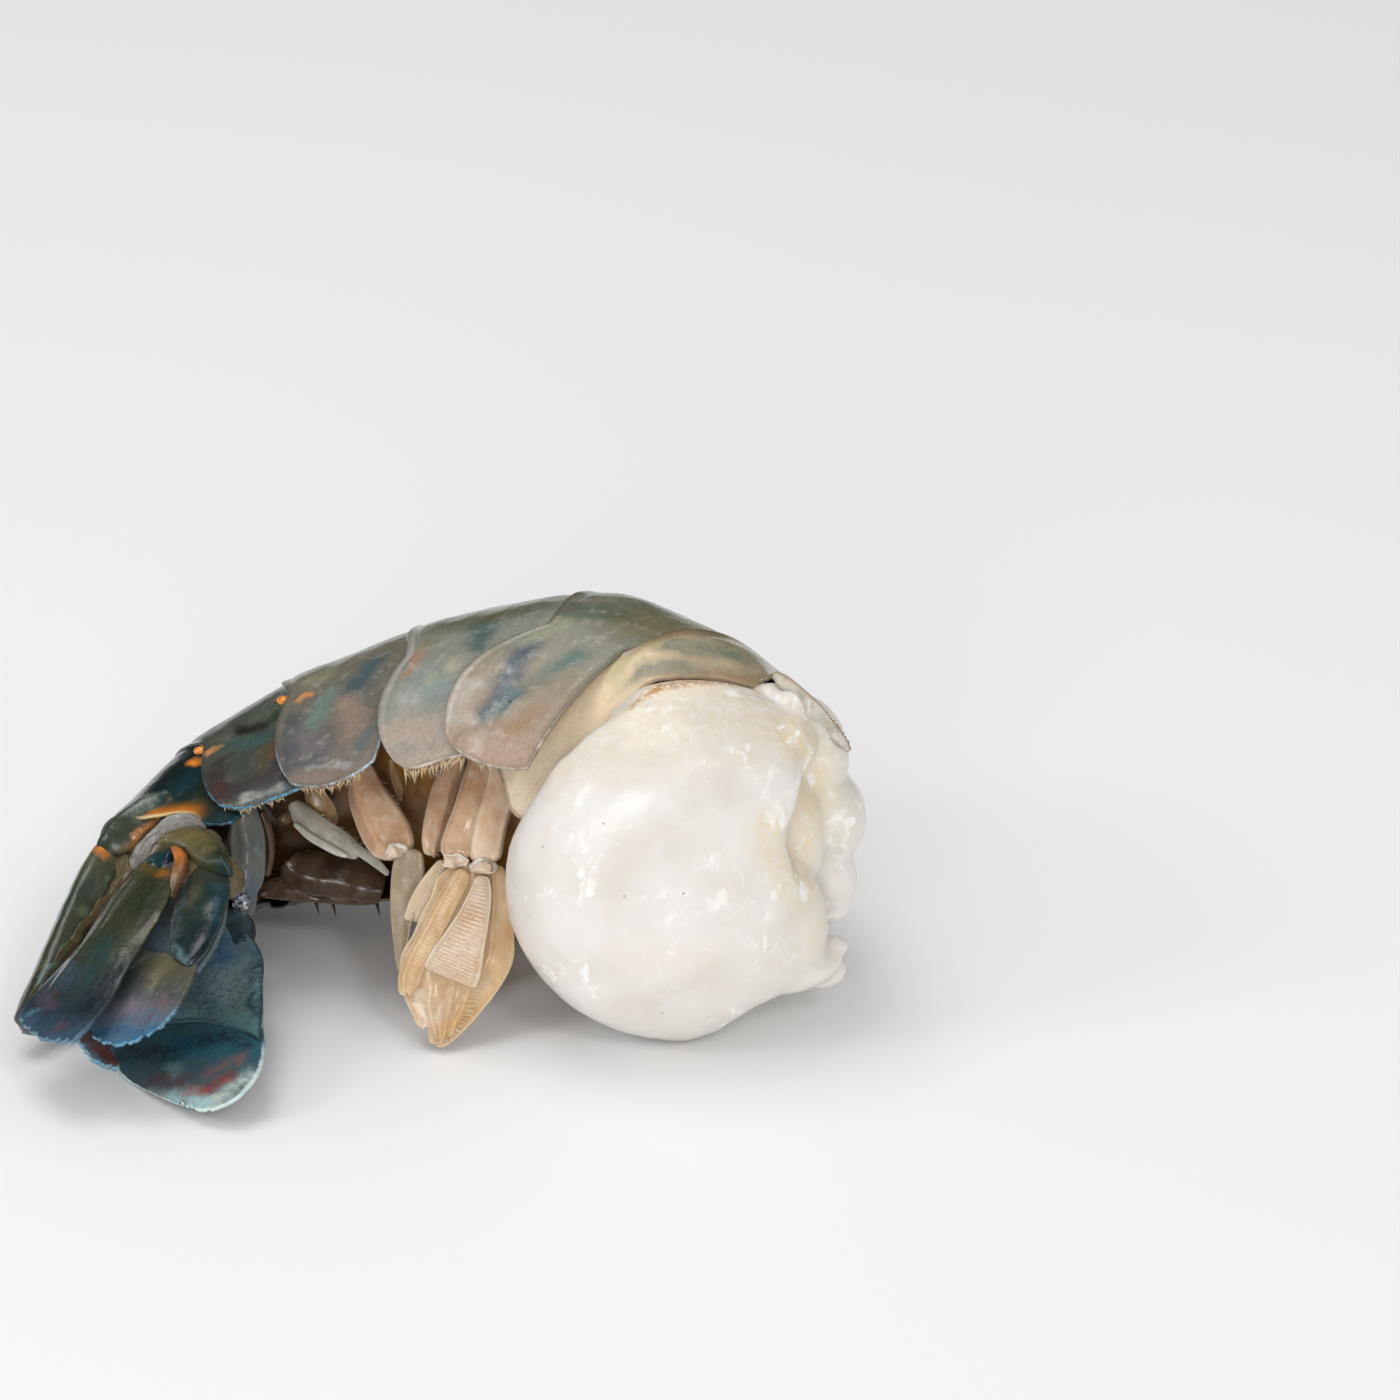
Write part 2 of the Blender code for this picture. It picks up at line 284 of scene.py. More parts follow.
def field(tree, mark):
    return addNode(tree, "ShaderNodeAttribute", attribute_name=mark).outputs["Fac"]


def sums(tree, operation, first, second=0.0, third=0.0, clamp=False):
    return addNode(tree, "ShaderNodeMath", {0: first, 1: second, 2: third}, operation=operation,
                   use_clamp=clamp).outputs[0]


def times(tree, first, second):
    return sums(tree, "MULTIPLY", first, second)


def timesPlus(tree, first, second, third):
    return sums(tree, "MULTIPLY_ADD", first, second, third)


def cloud(tree, point, size, detail=3.0, roughness=0.55, stretch=None, seed=0.0, output="Fac"):
    if stretch or seed:
        point = addNode(tree, "ShaderNodeMapping", {"Vector": point, "Location": (seed, seed, seed),
                                                    "Scale": stretch or (1, 1, 1)}).outputs[0]
    return addNode(tree, "ShaderNodeTexNoise", {"Vector": point, "Scale": 1 / size, "Detail": detail,
                                                "Roughness": roughness}).outputs[output]


def cells(tree, point, size, output):
    inputs = {"Vector": point, "Scale": 1 / size}
    return addNode(tree, "ShaderNodeTexVoronoi", inputs).outputs[output]


def steps(tree, factor, low, high):
    return addNode(tree, "ShaderNodeMapRange", {"Value": factor, "From Min": low, "From Max": high},
                   interpolation_type="SMOOTHSTEP").outputs[0]


def spots(tree, point, size, low, high, **settings):
    return steps(tree, cloud(tree, point, size, **settings), low, high)


def blend(tree, colour, mask, tone):
    return addNode(tree, "ShaderNodeMix", {0: mask, 6: colour, 7: tone}, data_type="RGBA").outputs[2]


def tint(tree, colour, mask, strength, tone):
    return blend(tree, colour, times(tree, mask, strength), shade(*tone))


def colourRun(tree, factor, stops):
    # stops are rows of place, red, green and blue
    run = addNode(tree, "ShaderNodeValToRGB", {0: factor})
    band = run.color_ramp
    while len(band.elements) < len(stops):
        band.elements.new(0.5)
    for element, (place, *tone) in zip(band.elements, stops):
        element.position = place
        element.color = shade(*tone)
    return run.outputs[0]


def strokeGroup():
    # 1 within a soft band round the line from Start to End, 0 beyond its Reach
    group = bpy.data.node_groups.new("paintStroke", "ShaderNodeTree")
    kinds = {"Point": "Vector", "Start": "Vector", "End": "Vector", "Reach": "Float", "Strength": "Float"}
    for name, kind in kinds.items():
        group.interface.new_socket(name, in_out="INPUT", socket_type=f"NodeSocket{kind}")
    group.interface.new_socket("Mask", in_out="OUTPUT", socket_type="NodeSocketFloat")
    given = group.nodes.new("NodeGroupInput").outputs
    result = group.nodes.new("NodeGroupOutput")
    away = vectors(group, "SUBTRACT", given["Point"], given["Start"])
    span = vectors(group, "SUBTRACT", given["End"], given["Start"])
    share = sums(group, "DIVIDE", vectors(group, "DOT_PRODUCT", away, span, "Value"),
                 vectors(group, "DOT_PRODUCT", span, span, "Value"), clamp=True)
    beside = vectors(group, "SUBTRACT", away, vectors(group, "SCALE", span, share))
    nearness = sums(group, "DIVIDE", vectors(group, "LENGTH", beside, output="Value"), given["Reach"])
    group.links.new(times(group, steps(group, nearness, 1.3, 0.1), given["Strength"]), result.inputs[0])
    return group


paintStroke = strokeGroup()


def strokeMask(tree, point, start, end, reach, strength):
    inputs = {"Point": point, "Start": start, "End": end, "Reach": reach, "Strength": strength}
    return addNode(tree, "ShaderNodeGroup", inputs, node_tree=paintStroke).outputs[0]


def paint(tree, point, colour, strokes, worn=(0.25, 0.62)):
    # a stroke is its start, its end (left out for a dot), reach in mm, screen colour and strength
    wear = spots(tree, point, 0.9, *worn, detail=5, roughness=0.7, seed=2.6)
    for row in strokes:
        mask = strokeMask(tree, point, row[:3], row[-8:-5], row[-5], row[-1])
        colour = blend(tree, colour, times(tree, mask, wear), shade(*row[-4:-1]))
    return colour


def warped(tree, point, size, amount):
    # the point shifted by noise, so that what is painted there has an uneven edge
    shift = cloud(tree, point, size, detail=5, roughness=0.6, output="Color")
    centred = vectors(tree, "SUBTRACT", shift, (0.5, 0.5, 0.5))
    return vectors(tree, "ADD", point, vectors(tree, "SCALE", centred, amount))


def addBump(tree, shader, height, strength, distance, socket="Normal"):
    inputs = {"Height": height, "Strength": strength, "Distance": distance * mm}
    relief = addNode(tree, "ShaderNodeBump", inputs)
    tree.links.new(relief.outputs[0], shader.inputs[socket])


def closeLook(tree, shader, colour, height=None, strength=0.3, distance=0.16):
    tree.links.new(colour, shader.inputs["Base Color"])
    if height:
        addBump(tree, shader, height, strength, distance)


def varyGloss(tree, shader, point, size, spread, least):
    gloss = cloud(tree, point, size, detail=2)
    tree.links.new(timesPlus(tree, gloss, spread, least), shader.inputs["Roughness"])


# shells
shell = {
    "wall": 0.3,
    "stand": 0.25,       # the outer face of a shell's front, over the skin
    "lift": 0.32,        # its rear edge, over the shell behind
    "tuck": 0.16,
    "cover": 0.06,
    "hingeGap": 0.03,
    "columns": 64,
    "rows": 180,
    "crowding": 0.07,    # how far the columns are drawn to both edges
    "flapShare": 0.2,    # the part of the rows on each flap
    "cornerShare": 0.35,
    "rim": 0.09,
    "rimWidth": 0.3,
    "grooveAt": 0.85,
    "grooveWidth": 0.4,
    "lumps": ((7.0, 0.22), (2.4, 0.07), (1.0, 0.02)),
    "cutCurl": 10.5,     # how far the first flap curls in over the meat at its cut edge
    "floorDepth": 0.6,
    "floorCurls": (0.12, 0.3, 0.3, 0.3, 0.3, 0.3),
}
flaps = {
    1: dict(depth=17.0, front=-3.0, rear=8.5, bow=0.0, frontCorner=2.5, rearCorner=1.0, curl=0.4),
    2: dict(depth=19.2, front=-0.8, rear=11.0, bow=3.6, frontCorner=0.8, rearCorner=1.6, curl=0.12),
    3: dict(depth=19.2, front=2.5, rear=13.6, bow=1.4, frontCorner=1.5, rearCorner=2.4, curl=0.10),
    4: dict(depth=17.3, front=1.0, rear=10.8, bow=0.8, frontCorner=1.5, rearCorner=1.8, curl=0.08),
    5: dict(depth=17.2, front=0.0, rear=9.8, bow=0.9, frontCorner=0.6, rearCorner=3.2, curl=0.08),
    6: dict(depth=14.0, front=1.0, rear=10.6, bow=0.0, frontCorner=2.5, rearCorner=0.0, curl=0.14,
            arch=table("0 13.6; 0.16 13.4; 0.3 12.4; 0.36 11.9; 0.42 11.2; 0.56 11.2; 0.64 11.6; 0.76 12.3; "
                       "0.84 12.4; 0.94 11.9; 1 10.7")),
}
# the cut end of shell 1 wanders, is torn at one angle and springs out beyond it
tear = {
    "angle": 41,
    "width": 3,
    "depth": 2.6,
    "wander": ((2.6, 0, 0.35), (0.9, 3, 0.15)),
    "flare": table("38 0; 44 2.2; 58 2; 72 1.2; 86 0.2; 110 -0.4; 135 -0.2; 180 0"),
}


def flapEdge(number, side, end, hang):
    flap = flaps[number]
    place = number - 1 + shell["hingeGap"] / 2 + end * (1 - shell["hingeGap"])
    if number == 1 and not end:
        place = 0
    hinge = skinPoint(place, 0 if side > 0 else 180, 0)
    start = (hinge - joints[number - 1]).dot(turns[number - 1] @ xAxis)
    if side < 0:
        bend = tail["segments"][number - 1 + end][1]
        inwards = flap["depth"] * shell["floorDepth"] * hang * math.tan(math.radians(bend / 2))
        return start + (1 - 2 * end) * inwards
    if end and "arch" in flap:
        return along(flap["arch"], hang)
    tip, bow = (flap["rear"], flap["bow"]) if end else (flap["front"], 0)
    return start + (tip - start) * hang**2 + bow * 4 * hang * (1 - hang)


def flapPoint(number, side, s, hang, place, hinge):
    # the flap hangs from the hinge line towards the belly and curls in
    flap = flaps[number]
    depth, curl = flap["depth"], flap["curl"]
    if side < 0:
        depth, curl = depth * shell["floorDepth"], shell["floorCurls"][number - 1]
    own = turns[number - 1]
    right = turnAt(place) @ yAxis
    back = own @ zAxis
    back = (back - right * back.dot(right)).normalized()
    lengthwise = right.cross(back)
    frontX, rearX = (flapEdge(number, side, end, hang) for end in (0, 1))
    x = frontX + (rearX - frontX) * s
    corner = flap["frontCorner"] * max(1 - s / shell["cornerShare"], 0) ** 2
    corner += flap["rearCorner"] * max(1 - (1 - s) / shell["cornerShare"], 0) ** 2
    drop = depth * hang - corner * hang**3
    curled = side * curl * through(tail["halfWidths"], place) * hang**2
    if number == 1 and side > 0:
        curled += (shell["cutCurl"] * hang - curled) * (1 - ramp(s, 0.1, 0.9))
    hingeX = (hinge - joints[number - 1]).dot(own @ xAxis)
    return hinge + lengthwise * (x - hingeX) - back * drop - right * curled


def shellPoint(number, s, v):
    # s runs from the front edge to the rear, v from the right flap's rim over the back to the left one's
    share = shell["flapShare"]
    angle = 180 * min(max((v - share) / (1 - 2 * share), 0), 1)
    side = 1 if v < 0.5 else -1
    hang = max(share - v, v - 1 + share, 0) / share
    hang = 0.6 * hang + 0.4 * math.sin(hang * math.pi / 2)
    height = min(angle, 180 - angle)
    upBack = ramp(height, 2, 24)
    first, last = number == 1, number == len(flaps)
    half = shell["hingeGap"] / 2
    front = 0 if first else number - 1 + half - (shell["tuck"] + half) * upBack
    rear = number if last else number - half + (shell["cover"] + half) * upBack
    place = front + (rear - front) * s
    lifted = 0 if last else ramp(place, number - 0.5, number - 0.05)
    above = max(ramp(height, 0, 22) - hang, 0)
    if first:
        lifted *= above
    if number == 2:
        lifted = max(lifted, 1 - above)
    out = shell["stand"] + shell["lift"] * lifted

    length = tail["segments"][number - 1][0]
    edge = (1 - s) * length
    if hang:
        edge = min(edge, s * length, (1 - hang) * flaps[number]["depth"])
    if first:
        edge = min(edge, s * length)
        out += along(tear["flare"], angle) * (1 - ramp(s, 0, 0.75))
        torn = sum(noiseAt(angle / size, seed) * amount for size, seed, amount in tear["wander"])
        torn -= tear["depth"] * bump(angle, tear["angle"], tear["width"])
        place += (0.03 - torn / length) * (1 - ramp(s, 0, 0.3)) * (1 - hang)
    out += shell["rim"] * math.exp(-(edge / shell["rimWidth"]) ** 2)
    out -= shell["rim"] * math.exp(-((edge - shell["grooveAt"]) / shell["grooveWidth"]) ** 2)

    point = skinPoint(place, angle, out)
    if hang:
        point = flapPoint(number, side, s, hang, place, point)
    normal = (point - centreAt(place)).normalized()
    for size, amount in shell["lumps"]:
        point += normal * lumps(point, size, number) * amount
    point.z = max(point.z, shell["lift"] + shell["stand"] - out, 0)
    return point, s, v, edge, hang if side > 0 else 0


def addShell(number, look, slot):
    piece = gridPiece(f"shellPlate{number}", shell["columns"], shell["rows"])

    def pointOf(co):
        s, v = (co.x + 1) / 2, (co.y + 1) / 2
        s -= shell["crowding"] * math.sin(2 * math.pi * s)
        return shellPoint(number, s, v)

    shapeVerts(piece, pointOf, ("along", "around", "edge", "hang"))
    thicken(piece, shell["wall"], lambda middle: middle - centreAt(number - 0.5) * mm)
    return finishPiece(piece, look, slot, f"shell_{number}")


def shellLook(name, palette):
    look, tree, shader = newLook(name, coat=0.45, coatRoughness=0.09, subsurface=palette["glow"])
    point = objectPoint(tree)
    loose = warped(tree, point, 4.0, 4.5)
    broad = cloud(tree, point, 5)
    around = sums(tree, "ADD", field(tree, "around"), timesPlus(tree, broad, 0.10, -0.05))
    # tones round the shell, dark over the top of the back: partly the shell's olive, partly painted shade on
    # the top, which the lamp above lights strongly
    colour = colourRun(tree, around, table(palette["around"]))
    flankOnly = steps(tree, around, 0.42, 0.22)
    mottle = spots(tree, loose, 3.6, 0.4, 0.7, detail=4, roughness=0.6, seed=3.1)
    colour = tint(tree, colour, times(tree, mottle, flankOnly), 0.35, palette["mottle"])
    colour = paint(tree, loose, colour, table(palette["strokes"]), worn=(0.1, 0.5))
    streaks = spots(tree, loose, 1.1, 0.35, 0.75, detail=4, roughness=0.65, seed=8.2)
    colour = tint(tree, colour, streaks, 0.22, palette["streak"])
    pale = spots(tree, loose, 1.7, 0.52, 0.72, detail=5, roughness=0.65, seed=5.6)
    colour = tint(tree, colour, times(tree, pale, flankOnly), palette["bloom"], (206, 200, 190))
    specks = spots(tree, point, 0.4, 0.46, 0.68, detail=4, roughness=0.7, seed=9.4)
    colour = tint(tree, colour, specks, 0.28, palette["streak"])
    fromRear = sums(tree, "SUBTRACT", 1.0, field(tree, "along"))
    edge, hang = field(tree, "edge"), field(tree, "hang")
    onBack = sums(tree, "SUBTRACT", 1.0, hang, clamp=True)
    reach, tone = palette["margin"]
    colour = tint(tree, colour, times(tree, steps(tree, fromRear, reach, reach * 0.7), onBack), 0.55, tone)
    colour = tint(tree, colour, steps(tree, edge, 0.5, 0.15), palette["line"], palette["lineColour"])
    # a pale rim along the flaps' lower edges, streaked: painted highlight where the edges catch the light
    lowRimHighlight = times(tree, steps(tree, edge, 0.34, 0.05), steps(tree, hang, 0.45, 0.85))
    colour = tint(tree, colour, times(tree, lowRimHighlight, streaks), palette["rimHighlightStrength"] * 1.3, palette["rim"])
    if "arc" in palette:
        # the last shell's rear edge runs pale, then orange, then fades
        there = times(tree, steps(tree, hang, 0.05, 0.25), steps(tree, hang, 0.8, 0.5))
        rearEdge = times(tree, fromRear, 11.5)
        arc = colourRun(tree, sums(tree, "DIVIDE", rearEdge, 4.0), table(palette["arc"]))
        colour = blend(tree, colour, times(tree, there, steps(tree, rearEdge, 3.4, 0.9)), arc)
    closeLook(tree, shader, colour, timesPlus(tree, broad, 2.0, cloud(tree, point, 0.5)), 0.22, 0.12)
    varyGloss(tree, shader, point, 2.2, 0.25, 0.16)
    return look


# tones on the screen from the right rim over the back, and strokes as paint reads them
shellPalettes = {
    # shell 1: the first tones near its rim, the mottle, the streaks and the two strokes over the flap (from
    # 19.5 -6.7 35.1) are lifted near white, the flap's own cream plus painted light over the shade it lies
    # in under flap 2
    1: dict(around="""0 255 238 208; 0.2 240 216 180; 0.26 188 168 136; 0.34 144 138 112
        0.42 120 116 88; 0.8 122 116 88; 1 176 150 108""", mottle=(228, 210, 184), streak=(212, 186, 156),
        bloom=0.15, margin=(0.1, (120, 104, 76)), line=0.55, lineColour=(96, 78, 54), rim=(216, 204, 176),
        rimHighlightStrength=0.2, glow=0.15, strokes="""
        24 1.2 38.5  31 2.2 37.3  2  86 116 104  0.8
        23 5 39  31 7 36.8  2.6  118 104 70  0.75
        33.1 4 36.4  37 4 33  2  112 116 92  0.5
        18.4 -1.5 37.5  22 2.4 38.6  1.8  164 158 110  0.6
        23.2 -5.9 38.4  27.8 -3.6 38.2  1.5  196 150 116  0.7
        27.8 -3.6 38.2  33 -2.4 36.6  1.2  180 138 104  0.6
        16.2 -4.8 36.2  21 -3.4 38  1.3  146 152 126  0.5
        12.4 -8 33  18.5 -7.1 36.9  1.9  216 180 146  0.7
        19.5 -6.7 35.1  14.3 -7.5 29.1  3  240 216 188  0.85
        14.3 -7.5 29.1  10.4 -8 24  5.2  254 238 210  0.9
        22 -3.4 38.6  29 -3.2 39.4  2  104 128 118  0.7
        31 -2.5 39  35 -2 37  2  124 104 70  0.6
        36.8 -3 37.3  41 -2 33.7  2.2  150 142 128  0.8
        42.7 -1.8 31.4  44.9 -1.3 24  2.2  196 176 158  0.8"""),
    2: dict(around="""0 186 162 140; 0.08 174 156 136; 0.18 146 148 134; 0.26 118 124 106; 0.34 88 96 72
        0.42 80 80 50; 0.5 62 60 36; 0.8 66 64 42; 1 184 146 78""", mottle=(168, 160, 146),
        streak=(124, 104, 84), bloom=0.4, margin=(0.04, (110, 100, 84)), line=0.4, lineColour=(84, 78, 66),
        rim=(230, 220, 204), rimHighlightStrength=0.55, glow=0.15, strokes="""
        9.6 4.1 37.3  5.8 -2.8 34  2  56 88 108  0.85
        15.2 1.2 37.8  8.4 -2.1 34.9  1.7  80 120 118  0.75
        8.4 -2.1 34.9  5.5 -4.1 33.4  1.8  92 122 126  0.7
        10.6 -5.8 34.4  8 -7.6 33  1.8  172 130 96  0.6
        6 -5.6 32.9  3.6 -5.2 32  1.6  144 118 100  0.5
        3.8 0.6 34.6  2 -2.6 32.8  1.5  206 202 194  0.55
        3.6 -3.5 32.9  1.2  214 208 200  0.6
        4 -9 31  9.5 -10.5 32  2.8  190 164 146  0.6
        13 7.1 38.6  9.6 5.6 37.4  1.5  168 172 146  0.6
        14.6 -3 36.4  10.6 -1.4 35.4  2.2  156 140 118  0.5
        18.3 8.7 39.1  14 10 38.9  2.6  70 94 82  0.7
        21.1 6 39  27 8 37  4.5  116 106 66  0.6
        7.4 -3 34.4  0.3  60 34 18  1"""),
    # shell 3: the dark olive stroke from 6 15 36.4 along the top of the back is a painted shadow
    3: dict(around="""0 184 168 154; 0.12 150 152 144; 0.24 132 142 128; 0.32 98 104 80; 0.39 62 64 40
        0.5 42 44 27; 0.8 58 58 40; 1 168 126 60""", mottle=(170, 164, 152), streak=(110, 100, 84),
        bloom=0.35, margin=(0.06, (180, 172, 168)), line=0.35, lineColour=(90, 84, 74),
        rim=(236, 224, 214), rimHighlightStrength=0.6, glow=0.15, strokes="""
        4.2 15.2 35.3  4.6 9.5 35.4  1.7  74 104 102  0.85
        6 15 36.4  11 13.8 38  2.2  84 88 64  0.7
        -1.8 12.7 32.9  -3.4 9.6 31.8  1.3  184 138 110  0.75
        0.6 3 32.6  -1.2 6.6 32.2  2.8  142 162 156  0.7
        1.8 7.4 33.9  1.5  198 192 162  0.6
        -0.4 6.8 32.7  1.1  192 186 150  0.5
        -4.4 0.4 29.2  -1.4 -1.2 30.2  3  196 174 160  0.65
        -3.2 4.5 31  2  184 184 180  0.5
        1.1 17.5 34  6.9 15.2 36.3  3  92 94 62  0.65
        -0.7 14.1 33.5  1.4  136 112 84  0.6"""),
    4: dict(around="""0 140 128 118; 0.12 110 106 98; 0.24 124 118 102; 0.34 106 108 90; 0.44 66 70 50
        0.5 54 58 42; 0.8 58 62 46; 1 134 100 52""", mottle=(124, 126, 118), streak=(70, 76, 72),
        bloom=0.25, margin=(0.06, (116, 108, 98)), line=0.35, lineColour=(60, 64, 62), rim=(190, 208, 220),
        rimHighlightStrength=0.7, glow=0.08, strokes="""
        -7.2 15.6 30.2  -8.6 13 29.4  2.4  66 92 100  0.85
        -11.9 13.5 27.6  -13.2 9.7 26.2  2  116 140 130  0.8
        -14.4 7 25.3  -12.8 4.4 25.4  2.2  118 112 120  0.6
        -9 5 27.5  -9.8 10.2 28.1  2.2  164 138 124  0.75
        -15.8 8.5 25  0.5  170 180 176  0.7
        -13.2 5.6 25.4  -12.6 5.3 25.4  0.45  176 186 182  0.7
        -13.6 1.7 24.5  -9 -0.2 26  0.5  180 178 176  0.6
        -14.7 0.4 23.8  -11 -1 24.8  1.3  146 122 110  0.6
        -16.3 6.4 24.3  -15.6 3.4 24.2  1.6  76 78 92  0.7
        -13.3 2.8 24.8  1.6  86 90 102  0.6
        -15.6 11.2 25.5  -16 9 25  1.6  74 84 86  0.7
        -14 17.4 27.2  -12.1 17.9 28  1.6  156 154 118  0.6
        -15.5 14.8 26.1  -14.8 15 26.6  0.7  226 156 92  0.9
        -7.6 1.4 27.3  -6.6 3.6 27.8  1  96 116 124  0.6"""),
    5: dict(around="""0 90 96 98; 0.08 72 64 64; 0.18 90 96 82; 0.3 46 58 54; 0.5 36 44 32; 0.8 46 50 44
        1 88 64 40""", mottle=(46, 68, 70), streak=(62, 56, 46), bloom=0.08, margin=(0.05, (84, 84, 80)),
        line=0.3, lineColour=(24, 30, 30), rim=(96, 170, 200), rimHighlightStrength=0.8, glow=0.03, strokes="""
        -22.9 14 21.2  -19 11.2 22.9  1.5  58 92 92  0.85
        -21.7 16.5 21.9  -19 13.9 23.2  1.5  18 20 18  0.85
        -17.7 14.5 24.4  1.5  40 64 46  0.85
        -18.4 8.8 22.9  -18.9 6.6 22.4  1.7  94 88 62  0.7
        -20.5 9.7 22.1  -21 6.4 21.6  1.5  70 80 74  0.8
        -23.2 10.5 20.9  -23.6 8 20.7  1.5  56 46 38  0.7
        -23.4 5.4 20.4  -22.6 3.2 20.4  1.8  82 48 46  0.75
        -17.3 7.1 23.3  -17 9.6 23.6  1.1  120 82 60  0.7
        -20 1.9 21.1  -16.8 1.4 22.3  1  176 178 166  0.85
        -18.6 0 21.4  -15.8 0 22.6  1.1  92 112 122  0.7
        -16.4 14 25.5  0.9  236 140 20  1
        -25.2 14.5 20.3  -24.4 14.7 20.9  0.8  222 150 88  0.9
        -24 14.9 21  -22.6 14.8 21.6  0.6  150 140 106  0.7"""),
    # shell 6: the pale grey-green stroke from -30.8 9.6 17.2 is a painted sheen on its upper part
    6: dict(around="0 24 62 70; 0.1 44 54 40; 0.2 18 38 38; 0.35 20 36 32; 0.5 46 52 36; 1 40 46 40",
        arc="0 226 196 142; 0.1 236 200 138; 0.22 186 108 30; 0.4 162 100 30; 0.7 110 88 40; 1 70 66 40",
        mottle=(18, 50, 54), streak=(48, 50, 36), bloom=0.05, margin=(0.05, (70, 80, 70)), line=0.2,
        lineColour=(20, 34, 36), rim=(40, 110, 140), rimHighlightStrength=0.8, glow=0.03, strokes="""
        -28 9.4 18  -26 11 18.6  2.4  16 58 66  0.8
        -30.8 9.6 17.2  -32.6 6.4 17  1.3  134 144 130  0.8
        -26.3 14.3 19.2  1.2  240 138 40  1
        -25.4 5.6 18.4  1.6  74 70 40  0.6"""),
}
for number, palette in shellPalettes.items():
    slotName = "shell_pale" if number < 4 else "shell_grey" if number == 4 else "shell_dark"
    addShell(number, shellLook(f"shellSkin{number}", palette), slotName)

# the little orange knobs that the shells turn on
knobs = {"places": (4, 5), "angles": {"Right": 2, "Left": 178}, "reach": (0.864, 0.72, 0.504)}
knobLook, knobTree, knobShader = newLook("hingeOrange", roughness=0.25, coat=0.8, subsurface=0.3)
knobSpots = cloud(knobTree, objectPoint(knobTree), 0.9)
closeLook(knobTree, knobShader, colourRun(knobTree, knobSpots, table("0.35 214 104 16; 0.6 246 160 60")))
for place in knobs["places"]:
    for side, angle in knobs["angles"].items():
        at = skinPoint(place + 0.02, angle, 0.15)
        knob = ballPiece(f"hingeKnob{place}{side}", 24, 16)
        shapeVerts(knob, lambda co: at + co * Vector(knobs["reach"]))
        finishPiece(knob, knobLook, "shell_dark")
print("shells done")

# meat
meat = {
    "around": 160,
    "along": 120,
    "inset": 0.5,
    "floor": 0.02,
    "voxel": 0.36,
    "swells": ((5, 0.18), (2.0, 0.06)),
    # forwards from the cut face, share of the full ring
    "profile": table("""15.2 0; 14.9 0.33; 13.9 0.64; 11.9 0.88; 8.8 1.01; 5.4 1.05; 2.2 1.03; 0 0.985
        -2.5 0.97; -5 0.9; -6.5 0.6; -7 0"""),
    # how far the dome is drawn in at each angle: under the lip, beside the recess and above the bite
    "drawnIn": table("""0 0.03; 30 0.02; 47 0; 52 0.03; 57 0.14; 62 0.36; 72 0.48; 85 0.5; 100 0.48
        115 0.41; 127 0.3; 138 0.16; 147 0.07; 158 0.12; 170 0.14; 178 0.1; 187 0.03; 196 0; 290 0
        320 0.02; 360 0.03"""),
    # and pressed in behind the front of the first flap
    "pressed": table("""0 0; 60 0; 272 0; 288 0.12; 300 0.22; 314 0.25; 328 0.22; 340 0.14; 350 0.05
        360 0"""),
    # swollen out against the cut edge of the shell
    "swell": table("0 0.055; 35 0.05; 50 0.02; 60 0; 312 0; 330 0.03; 345 0.05; 360 0.055"),
    # soft lobes in the first segment's frame: centre, then reach along, across and up
    "lobes": table("""-2.4 8 15 3.2 6.4 3.9; -2.2 12.4 13.8 2.6 3 3; -0.6 12.9 12 2.6 2.9 3
        -2.7 0.4 15.7 4 5.2 3.6; -3 -6.4 13.6 3.6 4.4 3.4; -3.6 -9.7 12.8 2.9 1.8 3
        -8.4 -6.6 7.4 5 8.4 5; -4.8 1.5 9.5 4.6 8 5; -5.4 11 11.8 4.2 3.5 3.6; -7.6 -12.2 7.2 4 2.8 3.2
        -7.8 -11.6 4 4.4 3.2 4.4; -8.6 -13.1 8 3.4 2.2 5; -7.8 -12.4 11.8 1.8 1.2 2.2
        -7.8 -15.2 11 2 1.4 2.3; -8.6 -13.9 -2.2 3.6 3.8 3.4"""),
}


def domePoint(co):
    t, angle = onBall(co)
    angle = math.degrees(angle) % 360
    forwards, size = (through(column, (1 - t) * (len(column) - 1)) for column in zip(*meat["profile"]))
    forward = max(forwards, 0)
    size *= 1 - along(meat["drawnIn"], angle) * ramp(forward, 0.5, 4) * (1 - 0.4 * ramp(forward, 9, 14))
    size *= 1 - along(meat["pressed"], angle) * ramp(forwards, -10, -6) * (1 - ramp(forward, 1.8, 5.2))
    size *= 1 + along(meat["swell"], angle) * ramp(forwards, -1.5, 0.5) * (1 - ramp(forward, 3, 8))
    place = -forwards / tail["segments"][0][0]
    ring = max(place, 0)
    across = through(tail["halfWidths"], ring) - meat["inset"]
    tall = through(tail["backs"], ring) - meat["inset"] if angle < 180 else through(tail["bellies"], ring)
    return ringPoint(place, angle, across, tall, size, meat["floor"])


def addLobe(centre, reach):
    def pointOf(co):
        point = inSegment(1, Vector(centre) + co * Vector(reach))
        point.z = max(point.z, meat["floor"])
        return point

    lobe = ballPiece("lobe", 32, 24)
    shapeVerts(lobe, pointOf)
    return lobe


def joinPieces(pieces, name):
    clearSelection()
    for piece in pieces:
        piece.select_set(True)
    bpy.context.view_layer.objects.active = pieces[0]
    bpy.ops.object.join()
    return madePiece(name)


